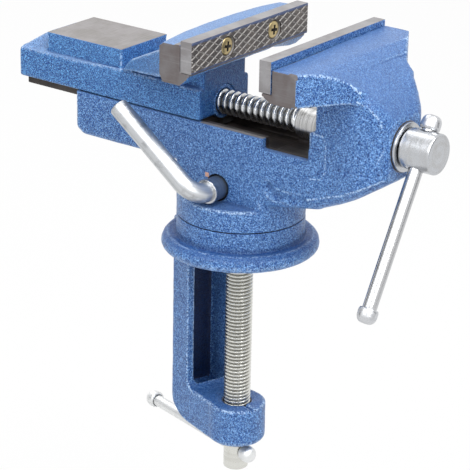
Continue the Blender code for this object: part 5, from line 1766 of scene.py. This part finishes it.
@dataclass
class Studio:
    """Camera, floor, lamps, dark boards for reflections and a white room."""

    target: Point = (-0.002736, 0.0, 0.003916)
    distance: float = 0.89979
    azimuth: float = math.radians(36.549)
    elevation: float = math.radians(21.392)
    roll: float = math.radians(1.189)
    lens: float = 172.066
    floor_height: float = -0.1575
    floor_half: float = 3.0
    ambient: float = 0.50
    bright_side: Point = (-0.42, -0.42, 0.80)
    white: Colour = (1.0, 1.0, 1.0)
    lamps: list[Lamp] = field(
        default_factory=lambda: [
            Lamp("key_lamp", (-0.05, -1.0, 1.0), 0.9, 7.8),
            Lamp("top_lamp", (0.65, 0.0, 1.15), 0.8, 13.0),
            Lamp("right_lamp", (1.1, -0.7, 0.7), 0.6, 6.8),
            Lamp("back_lamp", (-0.95, 0.35, 1.0), 0.9, 5.5),
        ]
    )
    boards: list[Board] = field(
        default_factory=lambda: [
            Board("left_board", -62.0, 1.1, 0.42, 1.6, 0.30),
            Board("right_board", 118.0, 1.1, 0.36, 1.6, 0.35),
        ]
    )

    def build(self) -> None:
        """Sets up the camera, floor, lamps and room."""
        self.camera()
        self.floor()
        self.room()
        for piece in (*self.lamps, *self.boards):
            piece.build()
        bpy.context.scene.view_settings.view_transform = "Standard"

    def camera(self) -> None:
        """Puts the camera at the photograph's angle."""
        a, e = self.azimuth, self.elevation
        back = Vector((math.sin(a) * math.cos(e), -math.cos(a) * math.cos(e), math.sin(e)))
        level = Vector((math.cos(a), math.sin(a), 0))
        upright = back.cross(level)
        right = math.cos(self.roll) * level + math.sin(self.roll) * upright
        up = -math.sin(self.roll) * level + math.cos(self.roll) * upright
        spot = Vector(self.target) + back * self.distance
        data = bpy.data.cameras.new("camera")
        data.sensor_width = 36
        data.lens = self.lens
        data.clip_start = 0.05
        data.clip_end = 50
        obj = bpy.data.objects.new("camera", data)
        bpy.context.scene.collection.objects.link(obj)
        rows = [(right[i], up[i], back[i], spot[i]) for i in range(3)]
        obj.matrix_world = Matrix((*rows, (0, 0, 0, 1)))
        bpy.context.scene.camera = obj

    def floor(self) -> None:
        """Lays the pale floor, which keeps a faint shadow."""
        h, z = self.floor_half, self.floor_height
        obj = mesh_object("floor", [(-h, -h, z), (h, -h, z), (h, h, z), (-h, h, z)], [(0, 1, 2, 3)])
        material = bpy.data.materials.new("pale_floor")
        material.use_nodes = True
        g = Graph(material.node_tree)
        g.tree.nodes.clear()
        path = g.node("LightPath").outputs
        seen = g.math("MAXIMUM", path["Is Camera Ray"], g.math("MAXIMUM", path["Is Glossy Ray"], path["Is Transmission Ray"]))
        cloth = g.node("BsdfDiffuse", {"Color": (0.8, 0.8, 0.8)}).outputs[0]
        glow = g.node("Emission", {"Color": self.white, "Strength": 1.0}).outputs[0]
        mixed = g.node("MixShader", {0: g.math("MULTIPLY", seen, 0.93), 1: cloth, 2: glow}).outputs[0]
        g.node("OutputMaterial", {"Surface": mixed})
        obj.data.materials.append(material)

    def room(self) -> None:
        """Makes the room white where it is seen, and softer where it lights."""
        world = bpy.data.worlds.new("room")
        bpy.context.scene.world = world
        world.use_nodes = True
        g = Graph(world.node_tree)
        g.tree.nodes.clear()
        path = g.node("LightPath").outputs
        seen = g.math("MAXIMUM", path["Is Camera Ray"], g.math("MAXIMUM", path["Is Glossy Ray"], path["Is Transmission Ray"]))
        place = g.node("TexCoord").outputs["Generated"]
        way = g.node("VectorMath", {0: place, 1: self.bright_side}, operation="DOT_PRODUCT").outputs["Value"]
        lift = g.ramp(way, -0.55, 0.85, 0.10, 1.0)
        soft = g.node("Background", {"Color": self.white, "Strength": g.math("MULTIPLY", lift, self.ambient)}).outputs[0]
        plain = g.node("Background", {"Color": self.white, "Strength": 1.0}).outputs[0]
        mixed = g.node("MixShader", {0: seen, 1: soft, 2: plain}).outputs[0]
        g.node("OutputWorld", {"Surface": mixed})


# ------------------------------------------------------------------ build


@dataclass
class CarriedNode:
    """A node whose shape is right as it is, and that only takes a finish."""

    node: str
    finish: str

    def build(self, finishes: Finishes) -> bpy.types.Object:
        """Dresses the node and returns it."""
        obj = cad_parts[self.node]
        obj.data.materials.clear()
        obj.data.materials.append(getattr(finishes, self.finish))
        return obj


def main() -> None:
    """Builds the studio and every sub-assembly, in order, and reports each."""
    logging.basicConfig(level=logging.INFO, format="%(message)s")
    Studio().build()
    finishes = Finishes()
    bare = [finishes.machined, finishes.planed, finishes.oily_iron_and_shade, finishes.primer]
    made = [swivel_casting().build([finishes.swivel_paint_top_sheen, *bare, finishes.pocket_shade_paint])]
    made.append(clamp_casting().build([finishes.paint, *bare, finishes.pocket_shade_paint]))
    made.append(slide_casting().build([finishes.slide_paint, *bare, finishes.front_shade_paint]))
    for jaw, body, facing in (("moving_jaw", "slide", 1), ("fixed_jaw", "swivel", -1)):
        made.append(JawPlate(jaw + "_plate", body, facing).build(finishes))
        for side in ("near", "far"):
            made.append(PlateScrew(f"{jaw}_screw_{side}", body, facing).build(finishes))
    made += MainScrew().build(finishes)
    made += TommyBar("main_bar", ("main_bar_cap_upper", "main_bar_cap_lower"), "main_bar", 0.0028, 0.0039, 0.0058).build(finishes)
    made += LockHandle().build(finishes)
    made += ClampScrew().build(finishes)
    made += TommyBar("clamp_bar", ("clamp_bar_cap_near", "clamp_bar_cap_far"), "clamp_bar", 0.0024, 0.0035, 0.0055, "dull_lit_bar", "dull_lit_bar").build(finishes)
    made.append(CarriedNode("lead_nut", "bronze").build(finishes))
    made.append(CarriedNode("keeper_plate", "dark").build(finishes))
    for number in range(1, 5):
        made.append(CarriedNode(f"keeper_screw_{number}", "dark").build(finishes))
    for obj in made:
        LOG.info("%s: %d faces", obj.name, len(obj.data.polygons))


if __name__ == "__main__":
    main()
